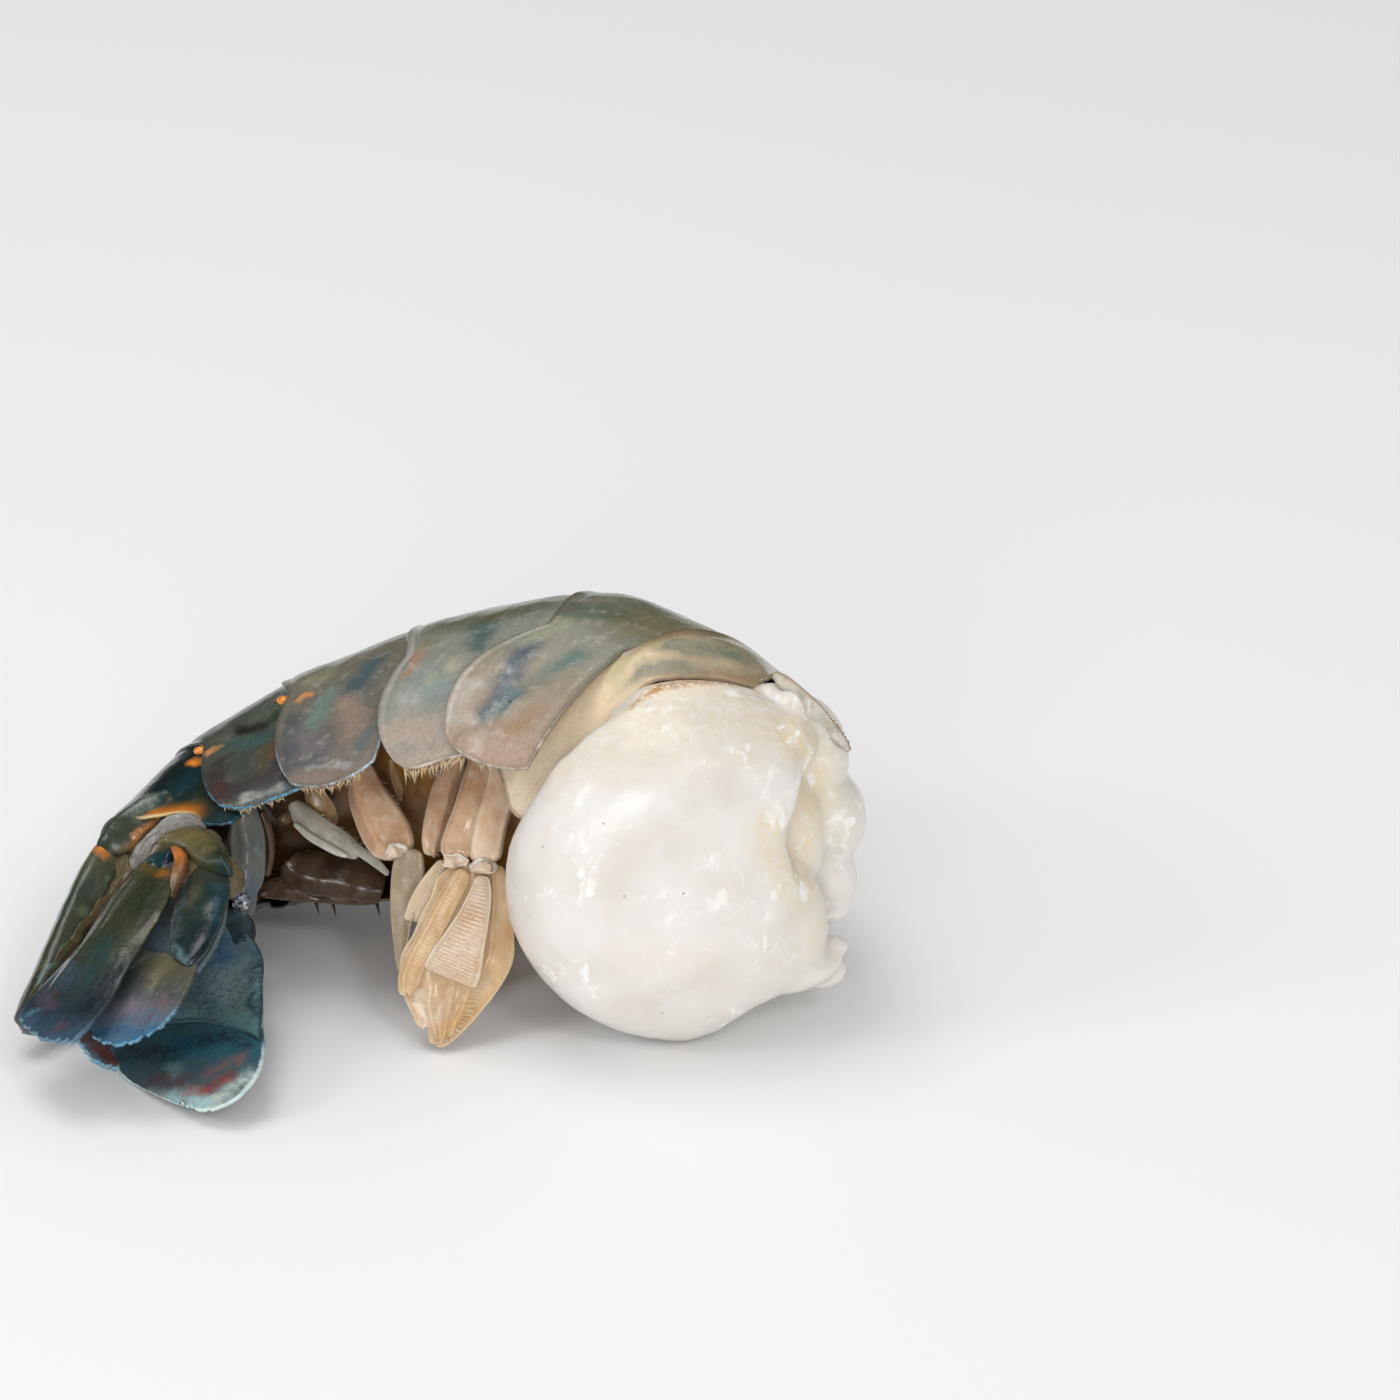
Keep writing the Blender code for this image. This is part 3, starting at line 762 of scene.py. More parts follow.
def addMeat(look):
    dome = ballPiece("cutMeat", meat["around"], meat["along"])
    shapeVerts(dome, domePoint)
    piece = joinPieces([dome] + [addLobe(row[:3], row[3:]) for row in meat["lobes"]], "cutMeat")
    faceOutwards(piece)
    applyModifier(piece, "REMESH", mode="VOXEL", voxel_size=meat["voxel"] * mm, use_smooth_shade=True)
    applyModifier(piece, "SMOOTH", factor=0.5, iterations=12)
    for size, strength in meat["swells"]:
        texture = bpy.data.textures.new("meatSwell", "CLOUDS")
        texture.noise_scale = size * mm
        texture.noise_depth = 1
        applyModifier(piece, "DISPLACE", texture=texture, strength=strength * mm, mid_level=0.5)
    for vert in piece.data.vertices:
        vert.co.z = max(vert.co.z, 0)
    return finishPiece(piece, look, "flesh", "meat")


meatPaint = {
    "flesh": "0.32 220 213 204; 0.5 227 222 216; 0.68 231 228 226",
    # near-white glints, painted highlights scattered in patches
    "paintedGlints": (243, 241, 237),
    "shades": """
        24 -12 36.6  36.5 -10 35.6  7  219 206 184  0.9
        13 -14 32  22 -14 35.6  5  220 208 188  0.7
        35.1 -17.6 27  36.6 -15.6 21  3.8  224 209 178  0.85
        37.6 -11.3 34.5  39.1 -8.6 27.5  3.6  224 208 172  0.9
        38.8 -9.6 26  37.8 -13.1 20.1  3.6  224 208 174  0.9
        38 -13.6 18  39.4 -13 13  3.6  228 216 190  0.7
        41 -6.4 33  42.4 -7.1 29.2  2.6  214 204 182  0.7
        43 -7.5 26.4  41.5 -8 19.8  3  214 210 196  0.7
        20.5 -20.2 14  27.4 -19.8 13.6  3  238 224 208  0.4""",
    # the stain under the cut edge of shell 1: start, end and reach
    "stain": table("""20.6 -10.4 37.4  23.2 -8.6 38.6  0.9; 23.2 -8.6 38.6  26.6 -7.5 39.1  1.2
        26.6 -7.5 39.1  30 -6.4 38.7  1.2; 30 -6.4 38.7  33 -5.4 37.6  0.9"""),
    "stainTone": (196, 146, 88),
    "stainGlow": (246, 234, 210, 0.9),
    "specks": table("""17.7 -19.8 28.8; 11.5 -18.3 25.4; 25.8 -20.3 21.1; 19.8 -20.9 21.1; 10 -18.6 17.6
        23.6 -18.6 6.4; 34.5 -17.7 13.4"""),
    "speckTone": (0.17, 120, 84, 54, 1.0),
}


def meatLook():
    look, tree, shader = newLook("wetMeat", roughness=0.42, coat=0.65, coatRoughness=0.13, subsurface=0.35,
                                 radius=(1.0, 0.75, 0.55), depth=2.0)
    point = objectPoint(tree)
    loose = warped(tree, point, 4.0, 4.0)
    colour = colourRun(tree, cloud(tree, loose, 7, detail=4), table(meatPaint["flesh"]))
    colour = paint(tree, loose, colour, table(meatPaint["shades"]))
    # painted highlights: near-white glints in patches; the same patches get the wet bump of the coat below
    patches = spots(tree, loose, 5.5, 0.5, 0.62, detail=2, seed=4.4)
    grain = {"detail": 2, "roughness": 0.5, "stretch": (1, 1, 0.45), "seed": 1.2}
    paintedGlints = spots(tree, loose, 1.3, 0.5, 0.68, **grain)
    colour = blend(tree, colour, times(tree, patches, paintedGlints), shade(*meatPaint["paintedGlints"]))
    stained = spots(tree, point, 0.6, 0.40, 0.58, detail=5, roughness=0.7)
    glow = [row[:6] + (row[6] * 2.4,) + meatPaint["stainGlow"] for row in meatPaint["stain"]]
    colour = paint(tree, point, colour, glow)
    for row in meatPaint["stain"]:
        band = strokeMask(tree, point, row[:3], row[3:6], row[6] * 1.1, 0.8)
        colour = blend(tree, colour, times(tree, band, stained), shade(*meatPaint["stainTone"]))
    colour = paint(tree, point, colour, [at + meatPaint["speckTone"] for at in meatPaint["specks"]])
    ripples = cloud(tree, loose, 1.7, **grain)
    closeLook(tree, shader, colour, ripples, 0.2, 0.2)
    addBump(tree, shader, times(tree, steps(tree, ripples, 0.35, 0.75), patches), 0.2, 0.6, "Coat Normal")
    return look


addMeat(meatLook())

belly = {
    "around": 96,
    "along": 150,
    "inset": 0.75,
    "start": 0.12,
    "end": 5.85,
    "ridge": 0.55,
    "ends": (0.04, 0.1),
    "pinch": (0.32, -35, 48),    # share, angle and reach: clear of the first flap's curl
    "floor": 1.0,
    # amber flesh at the front, darkening to brown towards the tail: painted shade, so that the gaps between
    # the shells read dark
    "tones": "0.1 226 196 140; 0.3 184 132 54; 0.5 142 96 36; 0.7 98 66 32; 0.9 62 46 30",
    "vein": (66, 46, 22),
}


def bellyPoint(co):
    t, angle = onBall(co)
    angle = math.degrees(angle)
    place = belly["start"] + (belly["end"] - belly["start"]) * t
    depth, middle, reach = belly["pinch"]
    pinch = depth * bump(angle, middle, reach) * (1 - ramp(place, 0.8, 2.0))
    size = rounded(t, *belly["ends"]) * (1 - pinch)
    across = through(tail["halfWidths"], place) - belly["inset"]
    if angle > 0:
        tall = through(tail["backs"], place) - belly["inset"]
    else:
        tall = through(tail["bellies"], place) + belly["ridge"] * math.cos(2 * math.pi * place)
    return ringPoint(place, angle, across, tall, size, belly["floor"]), place


def bellyLook():
    look, tree, shader = newLook("bellySkin", roughness=0.35, coat=0.8, subsurface=0.2, depth=1.5)
    point = objectPoint(tree)
    place = sums(tree, "DIVIDE", field(tree, "place"), 6.0)
    place = sums(tree, "ADD", place, timesPlus(tree, cloud(tree, point, 3), 0.12, -0.06))
    # amber darkening towards the tail: painted shade in the gaps
    colour = colourRun(tree, place, table(belly["tones"]))
    vein = spots(tree, point, 1.6, 0.45, 0.65, detail=4, stretch=(1, 1, 0.4))
    colour = tint(tree, colour, vein, 0.45, belly["vein"])
    closeLook(tree, shader, colour, cloud(tree, point, 0.8, detail=4), 0.4, 0.25)
    return look


bellyPiece = ballPiece("bellyMeat", belly["around"], belly["along"])
shapeVerts(bellyPiece, bellyPoint, ("place",))
faceOutwards(bellyPiece)
finishPiece(bellyPiece, bellyLook(), "flesh", "meat")
print("meat done")

# tail fan: plates drawn by their two edges in the fan's own frame, as (along, up) rows from root to tip
plainSheet = dict(columns=56, rows=90, thick=0.5, reach=25, bulge=0, crown=0, fringe=0, sideFringe=0, dome=0,
                  wave=0.25, ridges="", nodes="")
fanSheets = {
    "endopodRightPlate": dict(look="endopodRight", nodes="endopod_right", level=(7.2, 6.9), dome=0.9,
        bulge=1.2, fringe=0.55, thick=0.55, ridges="-0.55 0.45 0.16; 0.05 -0.25 0.35",
        left="6 -7.2; 8.3 -6.5; 12.5 -6.1; 17.7 -5.9; 21.8 -5; 24.8 -4.1; 26.8 -3.6; 28.6 -3.7",
        right="6.6 -11.2; 9.6 -13.2; 13.3 -14.1; 17 -14; 21 -14.2; 25 -14.3; 29 -14.2; 32.4 -13.2"),
    "exopodRightPlate": dict(look="exopodRight", nodes="exopod_right", level=(4.4, 4.3), dome=0.3,
        thick=0.6, left="6.2 -10.4; 9 -10.2; 12 -10.4; 15 -10.6; 18 -10.8",
        right="5.6 -16.4; 9 -18.6; 12.6 -20; 16 -20.4; 19.4 -20.4"),
    "exopodRightFlap": dict(look="exopodRightFlap", level=(4.9, 4.2), dome=0.7, bulge=2.1, fringe=0.5,
        sideFringe=0.35, thick=0.45, ridges="0 0.3 0.2",
        left="16.2 -11; 19 -11; 22 -11; 25 -11.1; 28 -11.2",
        right="18.6 -20.2; 21 -20.9; 23.4 -21.1; 25.6 -20.9; 27.8 -20.2"),
    "exopodLeftPlate": dict(look="exopodLeft", nodes="exopod_left", level=(-4, -3.4), dome=0.9, bulge=-2.4,
        thick=0.6, ridges="0.55 -0.35 0.2; 0.9 0.3 0.1",
        left="3.5 -9.4; 7 -8.3; 11 -7.3; 15 -6.3; 18 -5.5; 20.6 -5.2",
        right="3.6 -12.2; 6.2 -16.2; 9.4 -19.2; 13.4 -21.4; 17.6 -23.6; 21.4 -25.3"),
    "exopodLeftFlap": dict(look="exopodLeftFlap", level=(-3.9, -4.4), dome=0.7, thick=0.45, reach=14,
        fringe=0.3, bulge=0.3, crown=1.6,
        left="17.6 -5.6; 20.8 -5.4; 23.4 -7; 25.8 -9.4; 27.6 -12.6; 29.2 -16.6; 30.2 -20",
        right="17.8 -23.3; 20.2 -24.9; 22.4 -26.1; 24.8 -27; 27.2 -27.1; 29.4 -26.2; 30.6 -24"),
    "endopodLeftPlate": dict(look="endopodLeft", nodes="endopod_left", level=(-6.2, -5.4), dome=0.3,
        bulge=1.4, fringe=0.4, thick=0.5, left="4 -3.4; 10 -1.6; 16 -0.6; 20 -0.2; 21.8 -0.9",
        right="4.4 -9.6; 10 -10.6; 16 -10.4; 22 -9.6; 25.6 -8.4"),
}


def readPiece(piece, plain):
    # a piece's own settings over the plain ones, with its tables read
    piece = {**plain, **piece}
    for key in ("ridges", "left", "right", "path", "fanPath"):
        if key in piece:
            piece[key] = table(piece[key])
    return piece


def sheetPoint(sheet, u, v):
    count = len(sheet["left"]) - 1
    left, right = (through([Vector((x, 0, z)) for x, z in sheet[side]], v * count)
                   for side in ("left", "right"))
    half = (left - right).length / 2
    point = left.lerp(right, (u + 1) / 2)
    reach = sheet["reach"]
    crossBow = 1 - u * u
    point.x += crossBow * (sheet["bulge"] * ramp(v, 0.75, 1) - sheet["crown"] * (1 - ramp(v, 0, 0.3)))
    teeth = noiseAt(u * half / 0.55, 7.3) + 0.6 * noiseAt(u * half / 0.22, 1.7)
    point.x += sheet["fringe"] * teeth * ramp(v, 0.94, 1)
    sideTeeth = noiseAt(v * reach / 0.5, 2.2, u)
    point.z += sheet["sideFringe"] * sideTeeth * ramp(abs(u), 0.94, 1) * ramp(v, 0.4, 0.7)
    start, end = sheet["level"]
    height = start + (end - start) * v + sheet["dome"] * crossBow * math.sin(math.pi * min(v * 1.1, 1))
    for ridge, rise, ridgeReach in sheet["ridges"]:
        height += rise * math.exp(-((u - ridge) / ridgeReach) ** 2) * (1 - 0.8 * v)
    height += sheet["wave"] * lumps(Vector((point.x, point.z, start)), 5.0)
    height += 0.05 * lumps(Vector((point.x / 4, point.z, start)), 0.8)
    point.y = height
    point = inSegment(7, point)
    point.z = max(point.z, sheet["thick"])      # the wall grows down from here
    return point, v, u, min((1 - abs(u)) * half, (1 - v) * reach)


def addSheet(name, sheet, look):
    sheet = readPiece(sheet, plainSheet)
    piece = gridPiece(name, sheet["columns"], sheet["rows"])
    shapeVerts(piece, lambda co: sheetPoint(sheet, co.x, (co.y + 1) / 2), ("along", "across", "edge"))
    thicken(piece, sheet["thick"], lambda middle: turns[6] @ yAxis)
    return finishPiece(piece, look, "tail_fan", *sheet["nodes"].split())


# long soft bodies along a path of (x, y, z, half width) rows in world mm, or in the fan's own frame
plainStrap = dict(slot="tail_fan", nodes="", around=40, rings=72, facing="camera", ends=(0.05, 0.08),
                  taper=0.3, wave=0.15, ribs=(0, 0), ragged=0, sideRagged=0, teeth=34, floor=0.15, path="",
                  fanPath="", ridges="")
facings = {
    "camera": Vector((0, -0.9, 0.43)),
    "rear": Vector((-0.25, -0.9, 0.4)),
    "flank": turns[6] @ yAxis,
    "back": turns[6] @ zAxis,
    "tail": turns[6] @ xAxis,
    "cut": turns[0] @ -xAxis,
}


def readStrap(strap):
    strap = readPiece(strap, plainStrap)
    strap["path"] += [tuple(inSegment(7, row[:3])) + row[3:] for row in strap["fanPath"]]
    return strap


def strapPoint(strap, co):
    t, angle = onBall(co)
    w, face = math.cos(angle), math.sin(angle)
    last = len(strap["path"]) - 1
    place = t * last
    centres = [Vector(row[:3]) for row in strap["path"]]
    centre = through(centres, place)
    ahead = (through(centres, min(place + 0.2, last)) - through(centres, max(place - 0.2, 0))).normalized()
    across = ahead.cross(facings[strap["facing"]]).normalized()
    normal = across.cross(ahead)
    half = through([row[3] for row in strap["path"]], place)
    full = rounded(t, *strap["ends"])
    lift = strap["thick"] / 2 * full * (1 - strap["taper"] * t) * face
    if face > 0:
        for ridge, rise, reach in strap["ridges"]:
            lift += rise * math.exp(-((w - ridge) / reach) ** 2) * full * min(face * 3, 1)
    ribs, ribRise = strap["ribs"]
    if ribs:
        lift += ribRise * math.cos(2 * math.pi * ribs * t) * face * full
    ragged = strap["ragged"] * ramp(t, 0.75, 1) * noiseAt(w * half * 1.6, 5.0, t)
    tooth = abs(t * strap["teeth"] % 1 - 0.5) * 2
    half -= strap["sideRagged"] * ramp(-w, 0.6, 1) * ramp(t, 0.45, 0.6) * tooth
    point = centre + across * half * w * full + normal * lift + ahead * ragged
    point += normal * lumps(point, 2.2, 6.0) * strap["wave"]
    point.z = max(point.z, strap["floor"])
    return point, t, w, half * full * (1 - abs(w))


def addStrap(name, strap, look):
    piece = ballPiece(name, strap["around"], strap["rings"])
    shapeVerts(piece, lambda co: strapPoint(strap, co), ("along", "across", "edge"))
    faceOutwards(piece)
    return finishPiece(piece, look, strap["slot"], *strap["nodes"].split())


plainFan = dict(streak=(20, 34, 36), bloom=0.15, bloomColour=(120, 128, 124), rim=None, rimReach=0.9,
                rimFrom=0.5, stipple=None, glow=0.03, strokes="")


def fanLook(name, palette):
    palette = {**plainFan, **palette}
    look, tree, shader = newLook(name, roughness=0.32, coat=0.5, coatRoughness=0.09,
                                 subsurface=palette["glow"])
    point = objectPoint(tree)
    loose = warped(tree, point, 3.2, 3.4)
    wander = timesPlus(tree, cloud(tree, point, 3.5, detail=4), 0.2, -0.1)
    colour = colourRun(tree, sums(tree, "ADD", field(tree, "along"), wander), table(palette["run"]))
    colour = paint(tree, loose, colour, table(palette["strokes"]))
    streaks = spots(tree, loose, 0.9, 0.4, 0.75, detail=5, roughness=0.65, seed=5)
    colour = tint(tree, colour, streaks, 0.3, palette["streak"])
    pale = spots(tree, loose, 1.4, 0.55, 0.75, detail=5, roughness=0.7, seed=11)
    colour = tint(tree, colour, pale, palette["bloom"], palette["bloomColour"])
    if palette["rim"]:
        ragged = timesPlus(tree, cloud(tree, point, 0.7), 0.8, field(tree, "edge"))
        outer = steps(tree, field(tree, "along"), palette["rimFrom"], palette["rimFrom"] + 0.2)
        rim = times(tree, steps(tree, ragged, palette["rimReach"], 0.35), outer)
        colour = tint(tree, colour, rim, 0.8, palette["rim"])
    if palette["stipple"]:
        centre, reach, tone = palette["stipple"]
        near = strokeMask(tree, loose, centre, centre, reach, 0.9)
        pits = steps(tree, cells(tree, point, 0.55, "Distance"), 0.3, 0.16)
        colour = blend(tree, colour, times(tree, pits, near), shade(*tone))
    closeLook(tree, shader, colour,
              timesPlus(tree, cloud(tree, loose, 1.6), 1.5, cloud(tree, point, 0.5, detail=4)))
    varyGloss(tree, shader, point, 1.8, 0.3, 0.15)
    return look


# tones on the screen from root to tip, and strokes as paint reads them
fanPalettes = {
    "endopodRight": dict(
        run="0 96 84 44; 0.12 58 62 36; 0.4 56 62 44; 0.65 48 60 56; 0.85 44 58 68; 1 62 88 108",
        streak=(28, 34, 34), rim=(104, 146, 168), rimFrom=0.84, rimReach=0.7, strokes="""
        -29.4 -9.1 16.4  -30.7 -12.4 15.6  2.2  42 54 32  0.75
        -28.6 -6.6 16.8  -27.6 -8 16.8  0.9  168 108 36  0.75
        -28.4 -12 15.8  -29.6 -16.5 14.2  1  52 36 30  0.7
        -31.1 -15.7 14.3  -32 -19 13.4  1.8  78 76 54  0.6
        -33.5 -17.4 13.4  -35 -20.6 12  1.8  40 76 76  0.7
        -31.4 -20.3 12.9  -35 -25 11  1.7  22 30 42  0.8
        -38.8 -16.4 10.4  -37.4 -19.4 10.8  2  66 86 106  0.7
        -40.8 -22.1 8.5  0.9  96 150 170  0.8
        -39.8 -19.4 9.5  -39.2 -23 9.4  1.2  88 74 92  0.6
        -38.6 -26.2 8.7  -37.4 -26.6 9  1  104 56 58  0.45
        -38.4 -21.3 9.9  -38.6 -22.2 9.8  0.3  120 40 44  0.8
        -28 -13.5 15.8  -29.3 -16.2 14.6  0.3  128 132 96  0.7
        -29.6 -17 14.4  -32.2 -20.9 12.9  0.28  118 110 84  0.5"""),
    "exopodRight": dict(run="0 84 92 88; 0.5 98 112 118; 1 78 98 110", strokes="""
        -27.8 -13 13.2  -26.6 -16 13.4  1  104 116 130  0.6"""),
    "exopodRightCushion": dict(run="0 78 78 50; 0.3 48 60 50; 0.7 38 54 50; 1 22 40 48", strokes="""
        -24.8 -10.6 17.3  -25.2 -13 16.8  1.3  104 100 70  0.6
        -22.4 -11.4 17  -22.4 -18 15.6  1.2  14 62 84  0.85
        -23.4 -16.8 15.3  -24 -20.4 14.4  1.4  10 26 36  0.9
        -26.4 -12.6 16  -26.8 -17 14.8  1.2  92 100 108  0.75
        -26.6 -18.4 14  -25 -21 13.8  0.6  120 150 156  0.6"""),
    "exopodRightFlap": dict(
        run="0 96 100 90; 0.2 90 88 66; 0.5 74 76 74; 0.72 100 100 106; 0.9 86 112 134; 1 66 116 148",
        streak=(44, 52, 62), rim=(100, 156, 184), rimFrom=0.6, rimReach=0.6, bloomColour=(126, 128, 130),
        bloom=0.3, strokes="""
        -27 -19.9 12.9  -28.4 -22.4 12  1.6  120 110 74  0.65
        -30.9 -19.4 11.4  -31.4 -22 10.6  1.1  48 76 80  0.75
        -29.4 -21.4 11.6  -30 -23.2 10.8  1  62 66 66  0.6
        -27.4 -24.4 11.4  -27 -25.4 11.2  0.8  126 72 80  0.5
        -28.6 -26.4 10.4  -30 -26 10  0.7  118 72 88  0.5
        -30.4 -24.1 10.4  -32.2 -24.2 9.6  1.4  136 122 136  0.75
        -34 -25.6 8  -28 -28.6 9.8  1  40 92 132  0.7
        -29.8 -17.2 12  -31.4 -17.4 11.4  0.8  136 150 144  0.7
        -28 -18 12.8  0.6  140 100 60  0.7"""),
    "exopodLeft": dict(
        run="0 134 146 130; 0.15 104 140 158; 0.5 116 140 148; 0.8 94 122 124; 1 76 112 116",
        streak=(44, 62, 70), rim=(36, 62, 74), rimFrom=-0.5, rimReach=1, bloom=0.35,
        bloomColour=(128, 142, 150), stipple=((-21.6, -14.6, 7), 7, (22, 28, 34)), strokes="""
        -22.9 -5.6 7.9  -22.3 -9.6 7.6  1.8  52 96 140  0.8
        -20.8 -12 7.6  -21.6 -17.4 6  1.2  138 156 158  0.5
        -20.2 -6.6 8.4  -20.6 -12 8  1.7  96 116 118  0.65
        -24.2 -10.2 7  -25.4 -14 5.8  1.8  48 86 94  0.65
        -20.2 -14.6 7.4  -20 -18 6.6  1.6  72 82 66  0.6
        -18.3 -9.4 8.4  -18.2 -20.4 6.6  1.3  14 44 58  1
        -24 -15.8 5.8  -22 -17.4 6  1.6  40 64 84  0.6
        -28 -17.4 3.6  -22.5 -19.4 5.4  0.4  126 156 160  0.7"""),
    "exopodLeftFlap": dict(run="0 54 84 92; 0.35 42 90 102; 0.7 76 84 90; 1 196 214 210",
        streak=(30, 40, 48), rim=(216, 238, 236), rimFrom=0.2, rimReach=0.8, bloom=0.25,
        bloomColour=(70, 110, 124), strokes="""
        -31.6 -17 1.2  -28.6 -20.4 2.6  2  34 32 42  0.85
        -27 -21 3.4  -22 -21.6 5  1.6  12 34 42  0.85
        -26.6 -19.8 4  -24.6 -22 3.8  1.3  28 88 108  0.75
        -20.6 -22 5.6  -19 -24.6 5.6  1.2  26 40 46  0.8
        -26.7 -23.6 2.9  -26 -24.8 2.8  1.1  120 150 148  0.75
        -28.4 -24.2 2  -25.4 -26 2.6  1.1  96 62 58  0.7
        -22.6 -26.2 3.6  -19.4 -25.8 5  1.1  120 84 78  0.7
        -18.6 -29 4.6  -21.6 -30.4 3  1.4  186 206 200  0.85
        -22.8 -30.1 2.4  -27.4 -27.4 1.4  1  150 196 206  0.8
        -21.7 -30.3 2.9  0.7  218 196 124  0.6
        -23.2 -28.6 3  -20.2 -28.2 4.2  1.1  140 62 48  0.85
        -25.4 -27.9 2.2  -23.6 -28.6 2.7  0.8  146 62 46  0.55
        -19.4 -26.5 4.9  0.8  160 84 70  0.7
        -32.5 -18.3 0.6  0.6  130 34 38  0.8"""),
    "endopodLeft": dict(run="0 40 48 48; 0.7 70 56 54; 1 110 90 90", rim=(130, 186, 206), rimFrom=0.7,
        rimReach=1.4, strokes="""
        -35.4 -17.6 0.1  -37 -15 0.2  1.2  110 160 186  0.8
        -35.2 -15.5 0.4  -33.4 -17 0.4  1.2  112 44 40  0.85
        -33.2 -18.9 0.3  0.8  184 116 92  0.7"""),
    "telson": dict(run="0 94 98 76; 0.4 66 72 54; 0.8 58 62 52; 1 50 56 58", bloom=0.25,
        bloomColour=(104, 112, 92), strokes="""
        -35.6 -1.1 11.6  1.8  94 100 84  0.8
        -36.6 -1.4 12.6  -39.6 -5 11.6  1.4  48 66 60  0.7
        -37.1 -4.4 10.9  0.9  116 124 96  0.6
        -40.5 -10.4 8.9  -41.4 -12 8.4  0.7  138 138 90  0.65
        -33.6 1 11.6  -38.6 -11.5 6.8  1.3  74 50 26  0.85
        -34.5 1.8 12.6  -35.7 -2.1 10.8  0.4  104 136 116  0.85
        -35.7 -2.1 10.8  -37.4 -6.9 9.2  0.4  100 146 132  0.85
        -37.4 -6.9 9.2  -42.4 -15 6.4  0.35  96 128 118  0.8
        -35.6 3.4 14.3  1.1  240 140 50  0.95
        -43.7 -16.8 5.1  0.7  160 84 60  0.8"""),
    "uropodCap": dict(run="0 104 94 62; 0.5 106 96 58; 0.8 62 70 48; 1 28 54 58", strokes="""
        -28.4 -4.8 18.4  -26.4 -6.6 19.4  0.8  224 128 44  0.9
        -26.2 -6.8 19.5  -24.8 -8.6 19.4  0.8  214 126 44  0.85
        -25.6 -4.6 20.2  -23.8 -7 20.4  1.4  126 112 66  0.7
        -22.2 -7.6 20.4  -21.6 -10 20  1.2  34 48 30  0.85
        -23.4 -10.4 19.2  -21.6 -11 19.2  0.9  14 66 82  0.9"""),
    "uropodCapLeft": dict(run="0 84 104 108; 0.5 72 92 98; 1 44 66 78", rim=(36, 50, 58), rimFrom=-0.5,
        strokes="""
        -21.7 -1 8.6  1.4  106 140 150  0.6"""),
    "knuckle": dict(run="0 150 108 60; 0.25 196 108 40; 0.5 152 104 62; 0.8 118 96 74; 1 70 60 46",
        streak=(96, 62, 32), rim=(80, 56, 36), rimFrom=-0.5, rimReach=0.8, glow=0.2),
    "jointSkin": dict(run="0 96 84 66; 0.5 128 118 106; 1 110 96 80", bloom=0.6,
        bloomColour=(190, 192, 200), streak=(70, 56, 40)),
    "archSkin": dict(run="0 140 134 128; 0.4 132 128 122; 0.7 150 148 142; 1 120 116 104", bloom=0.9,
        bloomColour=(206, 210, 222), streak=(84, 70, 50), glow=0.2),
    "archInner": dict(run="0 120 112 100; 0.5 128 112 84; 1 96 86 62", streak=(74, 58, 34), bloom=0.2),
    # rearLobe: the pale grey-green stroke from -30.7 7.1 18.2 is a painted sheen, carried on from shell 6
    "rearLobe": dict(run="0 36 58 56; 0.4 58 68 52; 0.8 52 60 46; 1 26 48 52", strokes="""
        -30.7 7.1 18.2  -32.2 6.4 16.8  1.2  138 146 132  0.85
        -28.2 7.4 17.8  -29.6 5.9 16.8  0.7  222 140 48  0.85
        -29.6 5.9 16.8  -32.4 4 15.2  0.8  212 132 44  0.85
        -32.4 4 15.2  -33.8 3 14.4  0.7  150 110 60  0.7
        -34.6 3.2 13.8  -35.6 3 13.4  0.8  22 62 84  0.8"""),
    "tealLobe": dict(run="0 52 76 74; 0.6 24 56 58; 1 16 42 60", rim=(160, 176, 184), rimFrom=-0.5,
        rimReach=0.5),
    # the telson's underside, brown for the shade it lies in: painted shade
    "brownSkin": dict(run="0 108 98 70; 0.3 102 90 62; 0.6 90 78 50; 1 70 64 44", bloom=0.5,
        bloomColour=(150, 146, 136), streak=(54, 34, 16)),
}
looks = {name: fanLook(name + "Skin", palette) for name, palette in fanPalettes.items()}
for name, sheet in fanSheets.items():
    addSheet(name, sheet, looks[sheet["look"]])
print("tail fan done")

tornPaint = {
    "skin": "0.35 176 168 154; 0.6 208 202 192",
    "rim": (136, 116, 96),
    "strokes": """
        42.2 -2.8 31.4  43.8 -2.4 28  1.4  214 164 140  0.9
        39.6 -3.8 33.2  41.6 -3.4 31.4  0.9  196 176 146  0.8""",
}


def tornLook():
    look, tree, shader = newLook("tornSkin", subsurface=0.5, depth=1.5)
    point = objectPoint(tree)
    loose = warped(tree, point, 2.0, 1.5)
    colour = colourRun(tree, cloud(tree, loose, 1.6, detail=4), table(tornPaint["skin"]))
    colour = tint(tree, colour, steps(tree, field(tree, "edge"), 0.35, 0.08), 0.6, tornPaint["rim"])
    colour = paint(tree, point, colour, table(tornPaint["strokes"]))
    closeLook(tree, shader, colour, cloud(tree, point, 0.7), 0.3, 0.15)
    return look


looks["tornSkin"] = tornLook()
